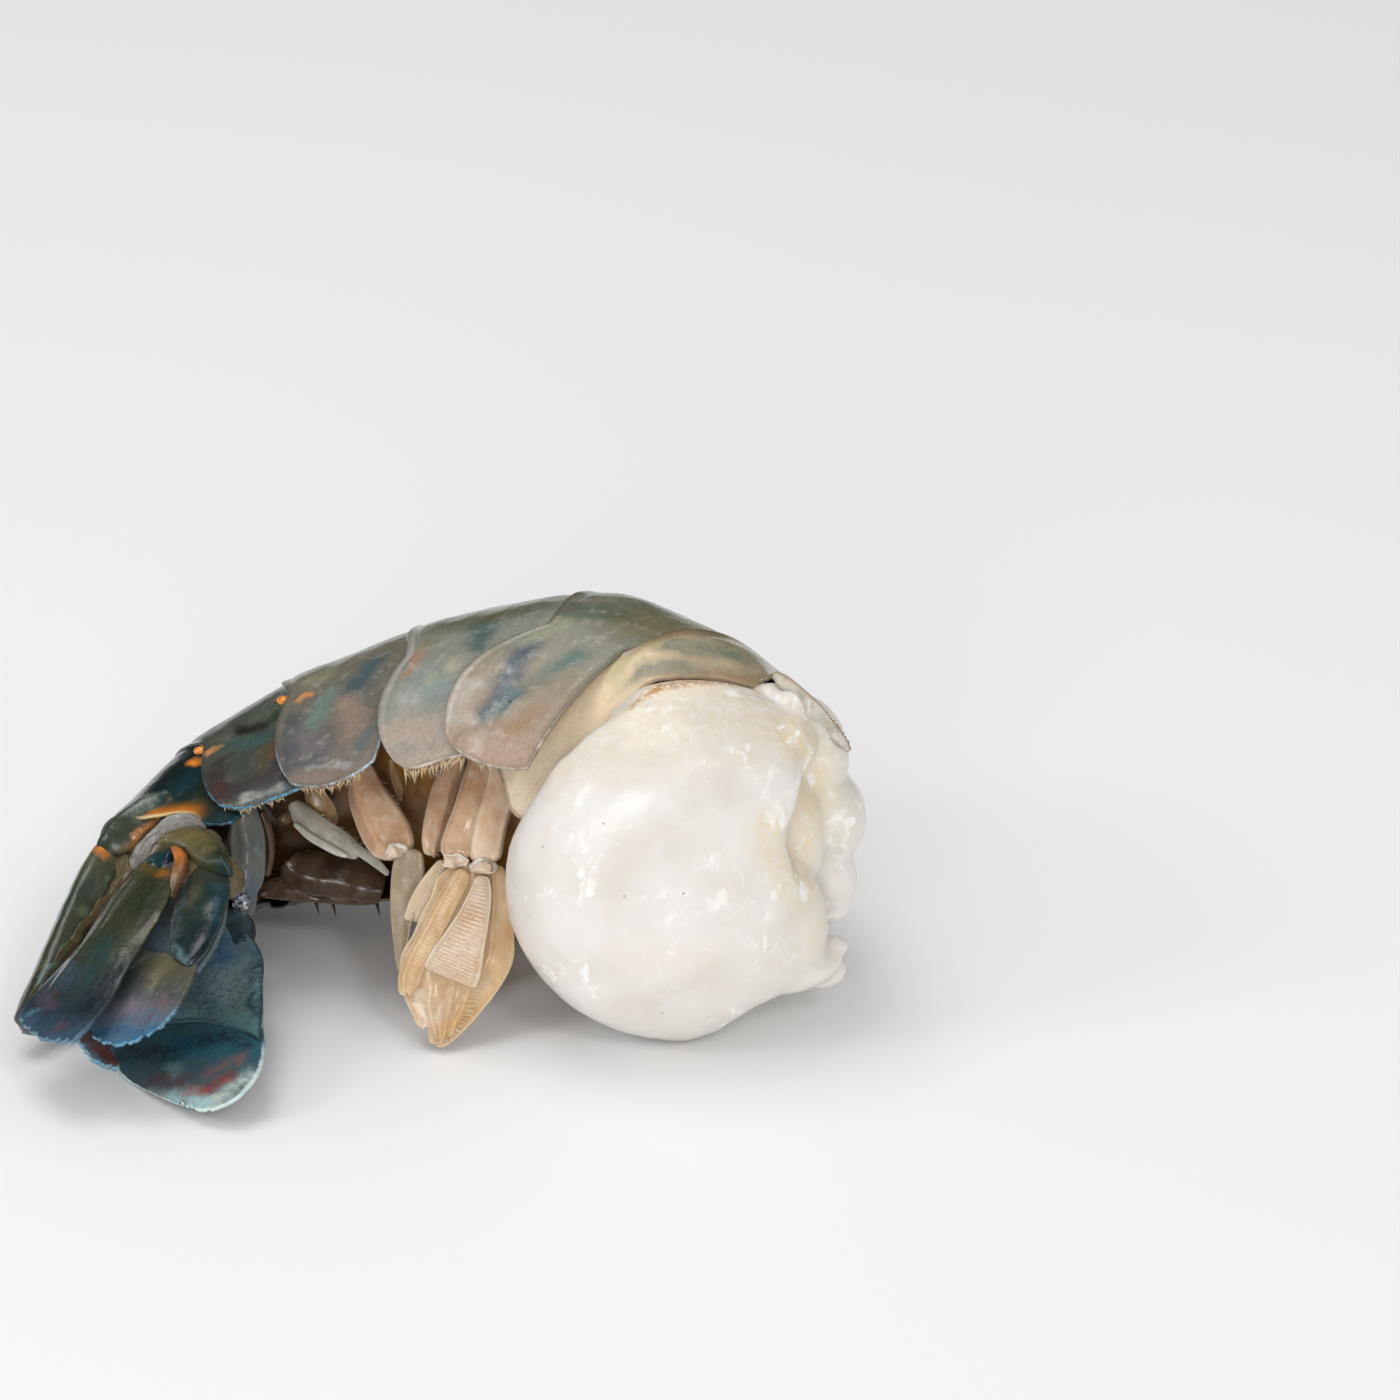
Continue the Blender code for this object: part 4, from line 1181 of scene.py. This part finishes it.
# the torn skin, then the thick pieces of the fan and its joints
fanStraps = {
    "tornSkin": dict(look="tornSkin", slot="shell_pale", facing="cut", thick=0.7, taper=0, wave=0.7,
        rings=90, sideRagged=0.35, ridges="-0.9 0.2 0.12; 0.9 0.2 0.12", path="""35 -4 38.2 0.3
        36 -4.8 37.8 0.7; 37.4 -6 36.9 0.9; 38.8 -6.8 35.6 1.1; 40.2 -7 34.2 1; 41.3 -6.9 33 0.8
        42.3 -6.6 31.6 0.6; 43 -6.2 30 0.4"""),
    "telsonBody": dict(look="telson", nodes="telson", facing="back", thick=4.8, taper=0.42,
        ends=(0.1, 0.06), ridges="-0.7 0.5 0.15; 0.7 0.5 0.15", fanPath="""-1 1.2 1.6 4.4; 3 1.4 1.4 5
        8 1.5 1 4.7; 13 1.6 0.5 4.1; 18 1.7 0.2 3.2; 22 1.8 0.1 2.3; 25.2 1.8 0.1 1.3"""),
    "exopodRightCushion": dict(look="exopodRightCushion", facing="flank", thick=2.6, taper=0.3,
        ends=(0.12, 0.2), path="-23.5 -5.8 16.6 1.5; -23.6 -7.6 16.4 2.3; -23.8 -9.8 16 2.8",
        fanPath="10 5.4 -16.4 3.2; 13.6 5.3 -17.5 3; 17.2 5.1 -18.9 2.2; 19.4 4.8 -19.9 1"),
    "uropodBaseRight": dict(look="archInner", facing="flank", thick=4, taper=0.1, ends=(0.15, 0.15),
        fanPath="""4.2 3.6 -7.4 1.2; 3.9 4.2 -9.6 2.4; 4.2 4.4 -12.4 2.7; 5.2 4.2 -15.4 2.5
        6.4 3.8 -18 1.6"""),
    "uropodCapRight": dict(look="uropodCap", nodes="uropod_base_right", facing="flank", thick=3, taper=0,
        ends=(0.12, 0.1), path="""-29 -2.4 16.7 0.2; -27.9 -1.4 17.2 0.8; -26.4 -1.8 17.8 1.3
        -25 -3.2 18.1 1.6; -23.9 -5 18.2 1.8; -22.9 -7 18.3 1.6; -21.9 -8.8 18.4 0.9
        -21.3 -9.6 18.4 0.3"""),
    "uropodLobeRight": dict(look="tealLobe", facing="flank", thick=1.6, taper=0, ends=(0.2, 0.2),
        path="-30.5 -3.4 15.4 0.3; -29.4 -3 16 0.9; -28.3 -3.5 16.4 1.4; -27.5 -4 16.7 1"),
    "uropodCapLeft": dict(look="uropodCapLeft", nodes="uropod_base_left", facing="flank", thick=2.4,
        taper=0.2,
        fanPath="1 -5.4 -6 1.4; 1.4 -5.4 -8.4 2; 2.8 -5 -10.9 2.2; 5 -4.6 -13.2 1.9; 7.2 -4.2 -14.8 1"),
    "jointKnuckle": dict(look="knuckle", facing="flank", thick=1.6, around=28, rings=48, wave=0.4,
        ridges="0.6 0.25 0.2", path="""-27.2 -3.6 17.6 0.5; -26.6 -5.2 17.6 0.75; -26.4 -6.8 17.4 0.8
        -26.5 -8.2 17 0.7; -26.8 -9.6 16.5 0.55; -27.2 -11.1 15.9 0.2"""),
    "rearLobeSix": dict(look="rearLobe", slot="shell_dark", facing="rear", thick=1.2, taper=0.1,
        path="""-28.4 8.6 18.2 0.8; -29.8 7.4 17.5 1.3; -31.3 6.2 16.8 1.7; -32.7 5 16 1.9
        -33.8 4.2 15.2 1.8; -34.7 3.9 14.6 1.5; -35.5 3.9 14 1.1; -36.1 4.1 13.5 0.4"""),
    "jointSkin": dict(look="jointSkin", facing="tail", thick=5, taper=0, ends=(0.3, 0.3), wave=0.5,
        around=64,
        fanPath="-1.4 1.2 3.6 2.6; -0.8 1 0.6 3.9; 0.2 0.6 -3.4 4.3; 1.4 0.4 -7.4 4.2; 2.6 0.2 -11.4 3.2"),
    "archSkin": dict(look="archSkin", facing="flank", thick=1.3, wave=0.6, rings=100,
        ridges="-0.4 0.3 0.15; 0.4 0.25 0.2", path="""-31.6 -2.8 15 0.5; -31.3 -1 15.4 1
        -30.5 0.5 16.1 1.1; -29.5 1.5 16.8 1.4; -28.4 2.1 17.4 1.2; -27 2.1 18 1; -25.5 1 18.4 0.8
        -24.3 -0.4 18.6 0.4"""),
    "archInner": dict(look="archInner", facing="flank", thick=1.6, wave=0.3, path="""-30.6 -2.2 14.8 0.5
        -29.7 -0.4 15.5 0.8; -28.9 0.7 16 0.9; -27.9 1.2 16.6 0.9; -26.7 1.3 17.1 0.9
        -25.2 0.3 17.6 0.9; -23.9 -1.2 17.8 1; -22.9 -3 17.8 0.8"""),
    # a brown strip along the telson's underside: painted shade
    "telsonSkin": dict(look="brownSkin", facing="flank", thick=1.6, wave=0.5, ridges="-0.3 0.2 0.15",
        path="""-33.8 5.6 13 1.2; -33.2 3.4 12.8 1.3; -32.9 1.6 12.6 1.2; -33.6 -0.4 11.9 0.9
        -35 -2.8 10.9 0.55; -37 -6 9.5 0.35; -39.8 -11 7.4 0.25; -42.2 -15.6 5.4 0.1"""),
}
for name, strap in fanStraps.items():
    addStrap(name, readStrap(strap), looks[strap["look"]])


def limbLook(name, base, warm, rim, glow=0.35, strokes="", stipple=None):
    look, tree, shader = newLook(name, coat=0.7, subsurface=glow, depth=1.2)
    point = objectPoint(tree)
    loose = warped(tree, point, 2.0, 2.0)
    colour = colourRun(tree, cloud(tree, point, 3, detail=4), ((0.35, *base), (0.65, *warm)))
    veins = spots(tree, loose, 1.1, 0.48, 0.7, detail=4, stretch=(1, 1, 0.4), seed=3.3)
    colour = tint(tree, colour, veins, 0.35, rim)
    edge = field(tree, "edge")
    colour = tint(tree, colour, steps(tree, edge, 0.4, 0.04), 0.5, rim)
    colour = paint(tree, loose, colour, table(strokes))
    if stipple:
        pits = steps(tree, cells(tree, loose, 0.5, "Distance"), 0.34, 0.12)
        pits = times(tree, pits, steps(tree, edge, 0.3, 1.0))
        colour = tint(tree, colour, pits, 0.6, stipple)
    closeLook(tree, shader, colour, timesPlus(tree, cloud(tree, loose, 1.3), 1.5, cloud(tree, point, 0.5)))
    return look


limbPalettes = {
    "pinkLimb": dict(base=(192, 150, 118), warm=(218, 184, 150), rim=(242, 224, 202), glow=0.5),
    # pale for the curled rims; also the front right peduncle's look, lifted as painted light over the shade
    # the meat casts on it
    "rimAndLitLimb": dict(base=(228, 192, 158), warm=(242, 218, 192), rim=(248, 238, 224), glow=0.5),
    "bladeLimb": dict(base=(204, 172, 140), warm=(214, 192, 168), rim=(238, 226, 212),
        stipple=(186, 140, 104)),
    "webLimb": dict(base=(192, 158, 118), warm=(204, 174, 140), rim=(228, 208, 182), strokes="""
        1 -15 2  4 -13.4 4.6  1.2  206 160 84  0.6
        -1.6 -13 5.4  -0.4 -14.2 3.2  1  230 216 198  0.7"""),
    "ribbedLimb": dict(base=(162, 144, 116), warm=(182, 164, 136), rim=(208, 194, 170)),
    "greyLimb": dict(base=(158, 154, 140), warm=(180, 172, 156), rim=(210, 210, 202)),
    "slateLimb": dict(base=(100, 108, 106), warm=(124, 124, 112), rim=(154, 166, 170), glow=0.2, strokes="""
        -22 4.4 15.6  -21.8 3.4 12  0.9  160 158 144  0.7
        -20.2 3.4 11  -19.8 2.8 9  1.2  84 112 132  0.6
        -21.4 5 17.2  1  170 112 56  0.7"""),
    "amberLimb": dict(base=(200, 162, 114), warm=(214, 184, 144), rim=(230, 208, 176)),
    "creamLimb": dict(base=(198, 174, 140), warm=(212, 192, 162), rim=(232, 218, 194)),
    "brownLimb": dict(base=(54, 38, 26), warm=(80, 58, 40), rim=(112, 90, 66), glow=0.1),
    "glassLimb": dict(base=(146, 108, 62), warm=(170, 136, 92), rim=(204, 184, 148), glow=0.4),
    # whitened for the ridge along the fourth leg: painted highlight
    "ridgeHighlightLimb": dict(base=(172, 168, 154), warm=(190, 186, 172), rim=(222, 220, 210), glow=0.4),
}
looks.update({name: limbLook(name, **palette) for name, palette in limbPalettes.items()})

# swimming legs, in world millimetres
legs = {
    # its lighter look is painted light over the shade of the meat
    "peduncleFrontRight": dict(look="rimAndLitLimb", nodes="swimmeret_1_right", thick=2.6,
        ridges="-0.8 0.35 0.15; 0.7 0.2 0.2", ends=(0.05, 0.12), path="""6.6 2 25.6 1.2
        6.7 0.6 24.5 1.5; 6.6 -0.9 23 1.8; 6 -2.3 21.5 1.8; 5.5 -3.8 20 1.8; 5.2 -5.2 18.6 1.8
        5.2 -6.3 17.4 1.6"""),
    "peduncleFrontLeft": dict(look="pinkLimb", thick=2.4, ridges="0.6 0.2 0.2; -0.8 0.25 0.15",
        ends=(0.05, 0.12), path="""4.6 2.2 26 1.2; 4.4 0.8 24.7 1.4; 3.9 -0.6 23.3 1.5
        3.3 -2.2 21.7 1.5; 2.6 -3.8 20.1 1.6; 2.2 -5 18.8 1.7; 2.1 -6.1 17.7 1.5"""),
    "peduncleSecondRight": dict(look="pinkLimb", nodes="swimmeret_2_right", thick=2.4,
        ridges="-0.3 0.2 0.2", ragged=0.8, path="""1.9 6.4 24.4 1.1; 1.6 5.2 22.8 1.2; 0.8 3.8 21.4 1.4
        0.3 2.2 19.7 1.5; -0.2 0.7 18.1 1.4; -0.5 -0.4 17 1.2; -0.6 -1.4 15.9 0.7"""),
    "stippledBlade": dict(look="bladeLimb", nodes="swimmeret_1_right_blade_1", thick=0.7, taper=0.3,
        ends=(0.08, 0.06), around=56, rings=110, ribs=(30, 0.04), ridges="-0.92 0.3 0.1; 0.92 0.25 0.1",
        path="""4.9 -7.4 16.6 0.7; 4.7 -8.1 14.9 1.2; 4 -9.3 12.7 1.7; 3 -10.6 10.5 2.3
        2.1 -11.6 8.5 2.9; 1.4 -12.4 7 3"""),
    "bladeWeb": dict(look="webLimb", thick=0.8, taper=0.4, ends=(0.1, 0.04), around=96, rings=170,
        ragged=1.2, sideRagged=0.9, ridges="-0.2 0.3 0.1; 0.35 0.25 0.12; -0.6 0.2 0.08",
        path="""3.4 -6 17.4 2.2; 3.3 -6.9 15.6 3.2; 2.9 -8.1 13.5 3.6; 2.3 -9.3 11.5 4.1
        1.8 -10.3 9.7 4.4; 1.1 -11.5 7.7 4.9; 0.8 -12.5 5.9 4.3; 0.7 -13.5 4.5 3.7; 0.6 -14.2 3.2 2.8
        0.6 -14.8 2.1 1.9; 0.3 -15.2 1.3 1"""),
    "ridgeBlade": dict(look="amberLimb", nodes="swimmeret_1_right_blade_2", thick=1.7, ribs=(44, 0.025),
        rings=170, ragged=0.8, ends=(0.08, 0.05), ridges="0.5 0.25 0.2", path="""3 -6.6 16.9 0.8
        2.3 -7.4 15.8 1.1; 1.1 -8.5 13.9 1.2; 0 -9.6 12 1.2; -1.2 -10.6 10.1 1.2; -2.2 -11.5 8.4 1.2
        -2.7 -12.3 7 1.2; -2.9 -13 5.6 0.8"""),
    "creamBlade": dict(look="creamLimb", nodes="swimmeret_2_right_blade_1", thick=1.3, ragged=1.6,
        ribs=(24, 0.03), rings=120, ends=(0.1, 0.03),
        path="1 -4.6 16.8 0.7; 0.1 -5.4 15.5 1.1; -0.9 -6.3 14 1.3; -1.7 -7 12.7 1.3; -2.2 -7.5 11.8 1.1"),
    "farBlade": dict(look="amberLimb", nodes="swimmeret_1_left swimmeret_1_left_blade_1", thick=0.9,
        rings=100, around=48, ridges="0.3 0.25 0.15", path="""6.2 -5.8 17 0.9; 6.4 -7.2 14.6 1.3
        6.4 -8.4 12.2 1.6; 6.3 -9.6 10.2 1.9; 6 -10.6 8.4 2; 4.6 -12 6.2 1.9; 2.4 -13.6 3.5 1.6
        0.6 -14.8 1.5 1.1; -0.2 -15.2 0.9 0.5"""),
    "peduncleThirdRight": dict(look="pinkLimb", nodes="swimmeret_3_right", thick=3,
        ridges="0.5 0.3 0.18; -0.85 0.3 0.12", ends=(0.05, 0.14), path="""-8.4 7.4 22.2 1.2
        -7.9 5.8 20.6 1.8; -7.3 4.4 19.4 2.2; -6.4 3 18.2 2.5; -5.4 1.6 16.9 2.6; -4.6 0.4 15.9 2.3
        -4.2 -0.5 15.1 1.5"""),
    "ribbedBlade": dict(look="ribbedLimb", nodes="swimmeret_3_right_blade_1", thick=1.7, ribs=(52, 0.03),
        rings=210, around=36, ends=(0.06, 0.04), ridges="-0.85 0.25 0.12", path="""-2.7 -0.8 16.4 1.1
        -3 -1.3 14.6 1.7; -3.3 -2.2 12.3 1.7; -3.7 -3.2 9.7 1.3; -3.9 -4.2 6.8 0.8; -4 -4.8 5.2 0.5
        -4 -5.2 4.1 0.25"""),
    "peduncleFourthRight": dict(look="greyLimb", nodes="swimmeret_4_right", thick=2.2,
        path="""-15.6 7.6 17.6 0.7; -14.6 6.7 16.6 1.2; -12.9 5.7 15.5 1.35; -10.9 4.8 14.6 1.3
        -9.3 4.1 13.9 1.1; -8.3 3.7 13.5 0.7"""),
    # a raised ridge along the fourth leg, whitened as a painted highlight
    "ridgeFourthRight": dict(look="ridgeHighlightLimb", thick=0.8, around=24, rings=60, path="""-15.4 5.3 16.3 0.25
        -13.8 4.3 15.3 0.4; -12.2 3.6 14.6 0.42; -10.8 3.1 14 0.38; -9.6 2.8 13.6 0.2"""),
    "tipFourthRight": dict(look="greyLimb", nodes="swimmeret_4_right_blade_1", thick=0.9, around=24,
        rings=40, path="-9.2 3.8 14.4 0.6; -7.7 2.9 13.7 0.55; -6.5 2.3 13 0.5; -5.3 1.6 12.1 0.3"),
    "legFourthLeft": dict(look="brownLimb",
        nodes="swimmeret_4_left swimmeret_4_left_blade_1 swimmeret_3_left swimmeret_3_left_blade_1",
        thick=2.8, ridges="0.3 0.25 0.3", wave=0.3, path="""-16.4 8.4 10.6 1.2; -15.4 8 9.8 2.1
        -13.7 7.4 9.4 2.4; -11.5 6.9 9.2 2.3; -9.1 6.4 9 2.2; -7 6 8.5 1.8; -6 5.9 8.2 0.9"""),
    "foldFourthLeft": dict(look="brownLimb", thick=1.6, sideRagged=0.5, wave=0.5, path="""-19.6 7.6 6.8 0.5
        -17.6 7.6 7.4 1.2; -15 7.4 7.4 1.3; -11.8 7 7.2 1.2; -8.6 6.6 7 1; -6.4 6.4 6.8 0.5"""),
    "secondLeft": dict(look="brownLimb", nodes="swimmeret_2_left swimmeret_2_left_blade_1", thick=1.2,
        path="4.6 5.4 9.6 1.4; 3.2 1.8 7.6 1.9; 1 -1.6 5 2.2; -1 -4.4 2.6 1.6"),
    "legFifthRight": dict(look="slateLimb", nodes="swimmeret_5_right", thick=2.8, ridges="0.8 0.3 0.12",
        path="""-20.6 7.4 18.2 1; -20.6 6.4 16.8 1.5; -20.5 5.7 14.7 1.95; -20.4 4.9 12.5 1.95
        -20.5 4.3 10.7 1.9; -20.8 3.7 9.2 1.6; -20.5 3.2 7.7 1.1; -20.1 2.8 6.6 0.4"""),
    "foldFifthRight": dict(look="brownLimb", thick=1, around=28, rings=50,
        path="-19 7.5 16.7 0.5; -18.2 7 14.3 0.5; -18.1 6.6 12 0.5; -18.7 6.2 9.6 0.6"),
    "foldFourthRight": dict(look="glassLimb", thick=0.8, around=28, rings=50,
        path="-13.9 9.2 19.4 0.6; -13 8.2 17.4 1.3; -12.2 7.8 16 1.3; -11.6 7.4 14.8 0.8"),
    "foldThirdRight": dict(look="glassLimb", thick=0.7, around=24, rings=40,
        path="-5.2 9 22.2 0.3; -4.8 8.7 20.4 0.5; -4.4 8.4 18.8 0.5; -4.2 8.2 17.4 0.2"),
}
for name, leg in legs.items():
    legs[name] = readStrap({"slot": "swimmeret", **leg})
    addStrap(name, legs[name], looks[leg["look"]])

# pale curled rims where the blades join, round a lump of pink tissue: place, radius and thickness
rims = {"innerFront": ((2.1, -7.0, 17.6), 1.05, 0.17), "outerFront": ((5.1, -7.2, 17.2), 1.15, 0.18),
        "third": ((-4.5, -1.7, 16.2), 1.05, 0.17)}


def archedPoint(point, at):
    # the lower half is drawn up, so that a ring becomes an arch, and its surface is made uneven
    point.z -= 0.75 * min(point.z - at[2], 0)
    return point + 0.55 * Vector([lumps(point, 0.9, seed) for seed in (0, 3, 6)])


for name, (at, radius, thick) in rims.items():
    clearSelection()
    bpy.ops.mesh.primitive_torus_add(rotation=(math.radians(64), 0.15, 0.0), major_segments=56,
                                     minor_segments=14, major_radius=radius, minor_radius=thick)
    rim = madePiece(name + "Rim")
    bpy.ops.object.transform_apply(location=True, rotation=True, scale=True)
    shapeVerts(rim, lambda co: archedPoint(co + Vector(at), at))
    finishPiece(rim, looks["rimAndLitLimb"], "swimmeret")
    lump = ballPiece(name + "Lump", 40, 28)
    shapeVerts(lump, lambda co: archedPoint(co * radius + Vector(at) + Vector((0, 0.35, -0.15)), at))
    finishPiece(lump, looks["pinkLimb"], "swimmeret")

# the glassy lump at the end of the fifth leg and the knob at the root of the fourth
glintLook, glintTree, glintShader = newLook("glint", roughness=0.2, coat=1.0, coatRoughness=0.03,
                                            subsurface=0.2)
glintCells = cells(glintTree, objectPoint(glintTree), 0.3125, "Color")
glintTones = table("0.2 58 70 90; 0.5 140 146 160; 0.8 236 238 244")
closeLook(glintTree, glintShader, colourRun(glintTree, glintCells, glintTones))
legLumps = {"legLumpFive": ((-20.9, 1.8, 8.7), 0.95, glintLook),
            "legKnobFour": ((-16.4, 6.4, 16.4), 0.8, looks["brownLimb"])}
for name, (at, radius, look) in legLumps.items():
    def lumpPoint(co):
        out = co * radius
        return Vector(at) + out * (1 + 0.35 * lumps(Vector(at) + out, 0.7))

    lump = ballPiece(name, 40, 28)
    shapeVerts(lump, lumpPoint)
    finishPiece(lump, look, "swimmeret")

# bristles: thin three-sided cones, set along the lower edges of the flaps and the sides of some legs
bristle = {"width": 0.16, "widthPerMm": 0.06, "turn": math.radians(120)}
bristleRandom = random.Random(4)


def addBristles(name, roots, look):
    # roots are (point, direction, length)
    verts, faces = [], []
    for root, direction, length in roots:
        direction = direction.normalized()
        side = direction.orthogonal().normalized()
        other = direction.cross(side)
        first = len(verts)
        width = bristle["width"] + bristle["widthPerMm"] * length
        for turn in range(3):
            angle = turn * bristle["turn"]
            verts.append((root + (side * math.cos(angle) + other * math.sin(angle)) * width) * mm)
        verts.append((root + direction * length) * mm)
        faces.append((first, first + 2, first + 1))
        faces += [(first + turn, first + (turn + 1) % 3, first + 3) for turn in range(3)]
    mesh = bpy.data.meshes.new(name)
    mesh.from_pydata(verts, [], faces)
    piece = bpy.data.objects.new(name, mesh)
    bpy.context.collection.objects.link(piece)
    attribute = mesh.attributes.new("edge", "FLOAT", "POINT")
    attribute.data.foreach_set("value", [1.0] * len(verts))
    return finishPiece(piece, look, "swimmeret")


def looseRoot(point, direction, spread, reach, shortest, longest):
    loose = Vector([bristleRandom.uniform(-spread, spread) for axis in range(3)])
    return point, direction + loose, reach * bristleRandom.uniform(shortest, longest)


# by flap: the part of its rim with bristles, their number and their length
bristleRows = {2: (0.35, 0.75, 26, 1.3), 3: (0.2, 0.98, 60, 2.0), 4: (0.1, 0.98, 64, 1.6),
               5: (0.3, 0.95, 54, 1.3)}
for number, (first, last, count, reach) in bristleRows.items():
    roots = []
    for index in range(count):
        s = first + (last - first) * (index + bristleRandom.random()) / count
        at, above = (shellPoint(number, s, v)[0] for v in (0.006, 0.03))
        inward = (centreAt(number - 0.5) - at).normalized()
        down = (at - above).normalized() + inward * 0.25
        roots.append(looseRoot(at + inward * 0.4, down, 0.35, reach, 0.4, 1.15))
    addBristles(f"flapBristles{number}", roots, looks["amberLimb"])
# by leg: the side, then the same
fringes = {"peduncleThirdRight": (-1, 0.15, 0.5, 12, 1.2), "peduncleFourthRight": (-1, 0.0, 0.9, 9, 1.2),
           "peduncleSecondRight": (-1, 0.8, 1.0, 10, 1.0)}
for name, (side, first, last, count, reach) in fringes.items():
    path = legs[name]["path"]
    roots = []
    for index in range(count):
        t = first + (last - first) * (index + bristleRandom.random()) / count
        angle = math.pi * (1 - t)
        rim = strapPoint(legs[name], Vector((side * math.sin(angle), 0, math.cos(angle))))[0]
        middle = through([Vector(row[:3]) for row in path], t * (len(path) - 1))
        away = (rim - middle).normalized()
        roots.append(looseRoot(rim - away * 0.2, away + Vector((0, -0.2, -0.7)), 0.3, reach, 0.5, 1))
    addBristles(name + "Bristles", roots, looks["amberLimb"])
spines = ((-13.6, 9.0, 5.4), (-11.8, 9.0, 5.2), (-7.1, 9.0, 5.2))
spineRoots = [(Vector(at), Vector((0.25, -0.3, -1)), 1.9) for at in spines]
addBristles("floorSpines", spineRoots, looks["brownLimb"])
print("swimming legs done")

# camera, floor and light
stage = {
    "elevation": 25.5,
    "distance": 800,
    "lookAt": (27.5, 69.73, 0),
    "focalPixels": 6956.5,
    "imagePixels": 1400,
    "sensor": 36,
    "floorTone": 0.92,
    "worldStrength": 0.62,
    # place and aim in metres, size and power
    "lamps": {
        "softboxAbove": ((-0.15, 0.1, 0.7), (0, 0, 0), 0.35, 1.2),
        "softboxFront": ((0.3, -0.6, 0.55), (0, 0, 0.01), 0.16, 0.9),
        "softboxLow": ((-0.12, -0.8, 0.22), (0, 0, 0.015), 0.3, 1.75),
        "softboxLeft": ((-0.6, -0.25, 0.45), (0, 0, 0.01), 0.2, 0.7),
    },
}
tilt = math.radians(stage["elevation"])
lookAt = Vector(stage["lookAt"]) * mm
clearSelection()
away = Vector((0, -math.cos(tilt), math.sin(tilt))) * stage["distance"] * mm
bpy.ops.object.camera_add(location=lookAt + away, rotation=(math.pi / 2 - tilt, 0, 0))
camera = bpy.context.object
camera.data.sensor_width = stage["sensor"]
camera.data.lens = stage["sensor"] * stage["focalPixels"] / stage["imagePixels"]
camera.data.clip_start = 0.01
bpy.context.scene.camera = camera

clearSelection()
bpy.ops.mesh.primitive_plane_add(size=4, location=(0, 0.6, 0))
floor = bpy.context.object
floor.name = "paleFloor"
floorLook, floorTree, floorShader = newLook("paleFloor", roughness=0.6, coat=0)
floorShader.inputs["Base Color"].default_value = (*[stage["floorTone"]] * 3, 1)
floor.data.materials.append(floorLook)

for name, (place, aim, size, power) in stage["lamps"].items():
    clearSelection()
    bpy.ops.object.light_add(type="AREA", location=place)
    lamp = bpy.context.object
    lamp.name = name
    lamp.data.size = size
    lamp.data.energy = power
    lamp.rotation_euler = (Vector(aim) - Vector(place)).to_track_quat("-Z", "Y").to_euler()
world = bpy.data.worlds.new("studio")
world.use_nodes = True
background = world.node_tree.nodes["Background"]
background.inputs[0].default_value = (1, 1, 1, 1)
background.inputs[1].default_value = stage["worldStrength"]
bpy.context.scene.world = world
world.cycles_visibility.glossy = False
bpy.context.scene.view_settings.view_transform = "Standard"

print("scene done")
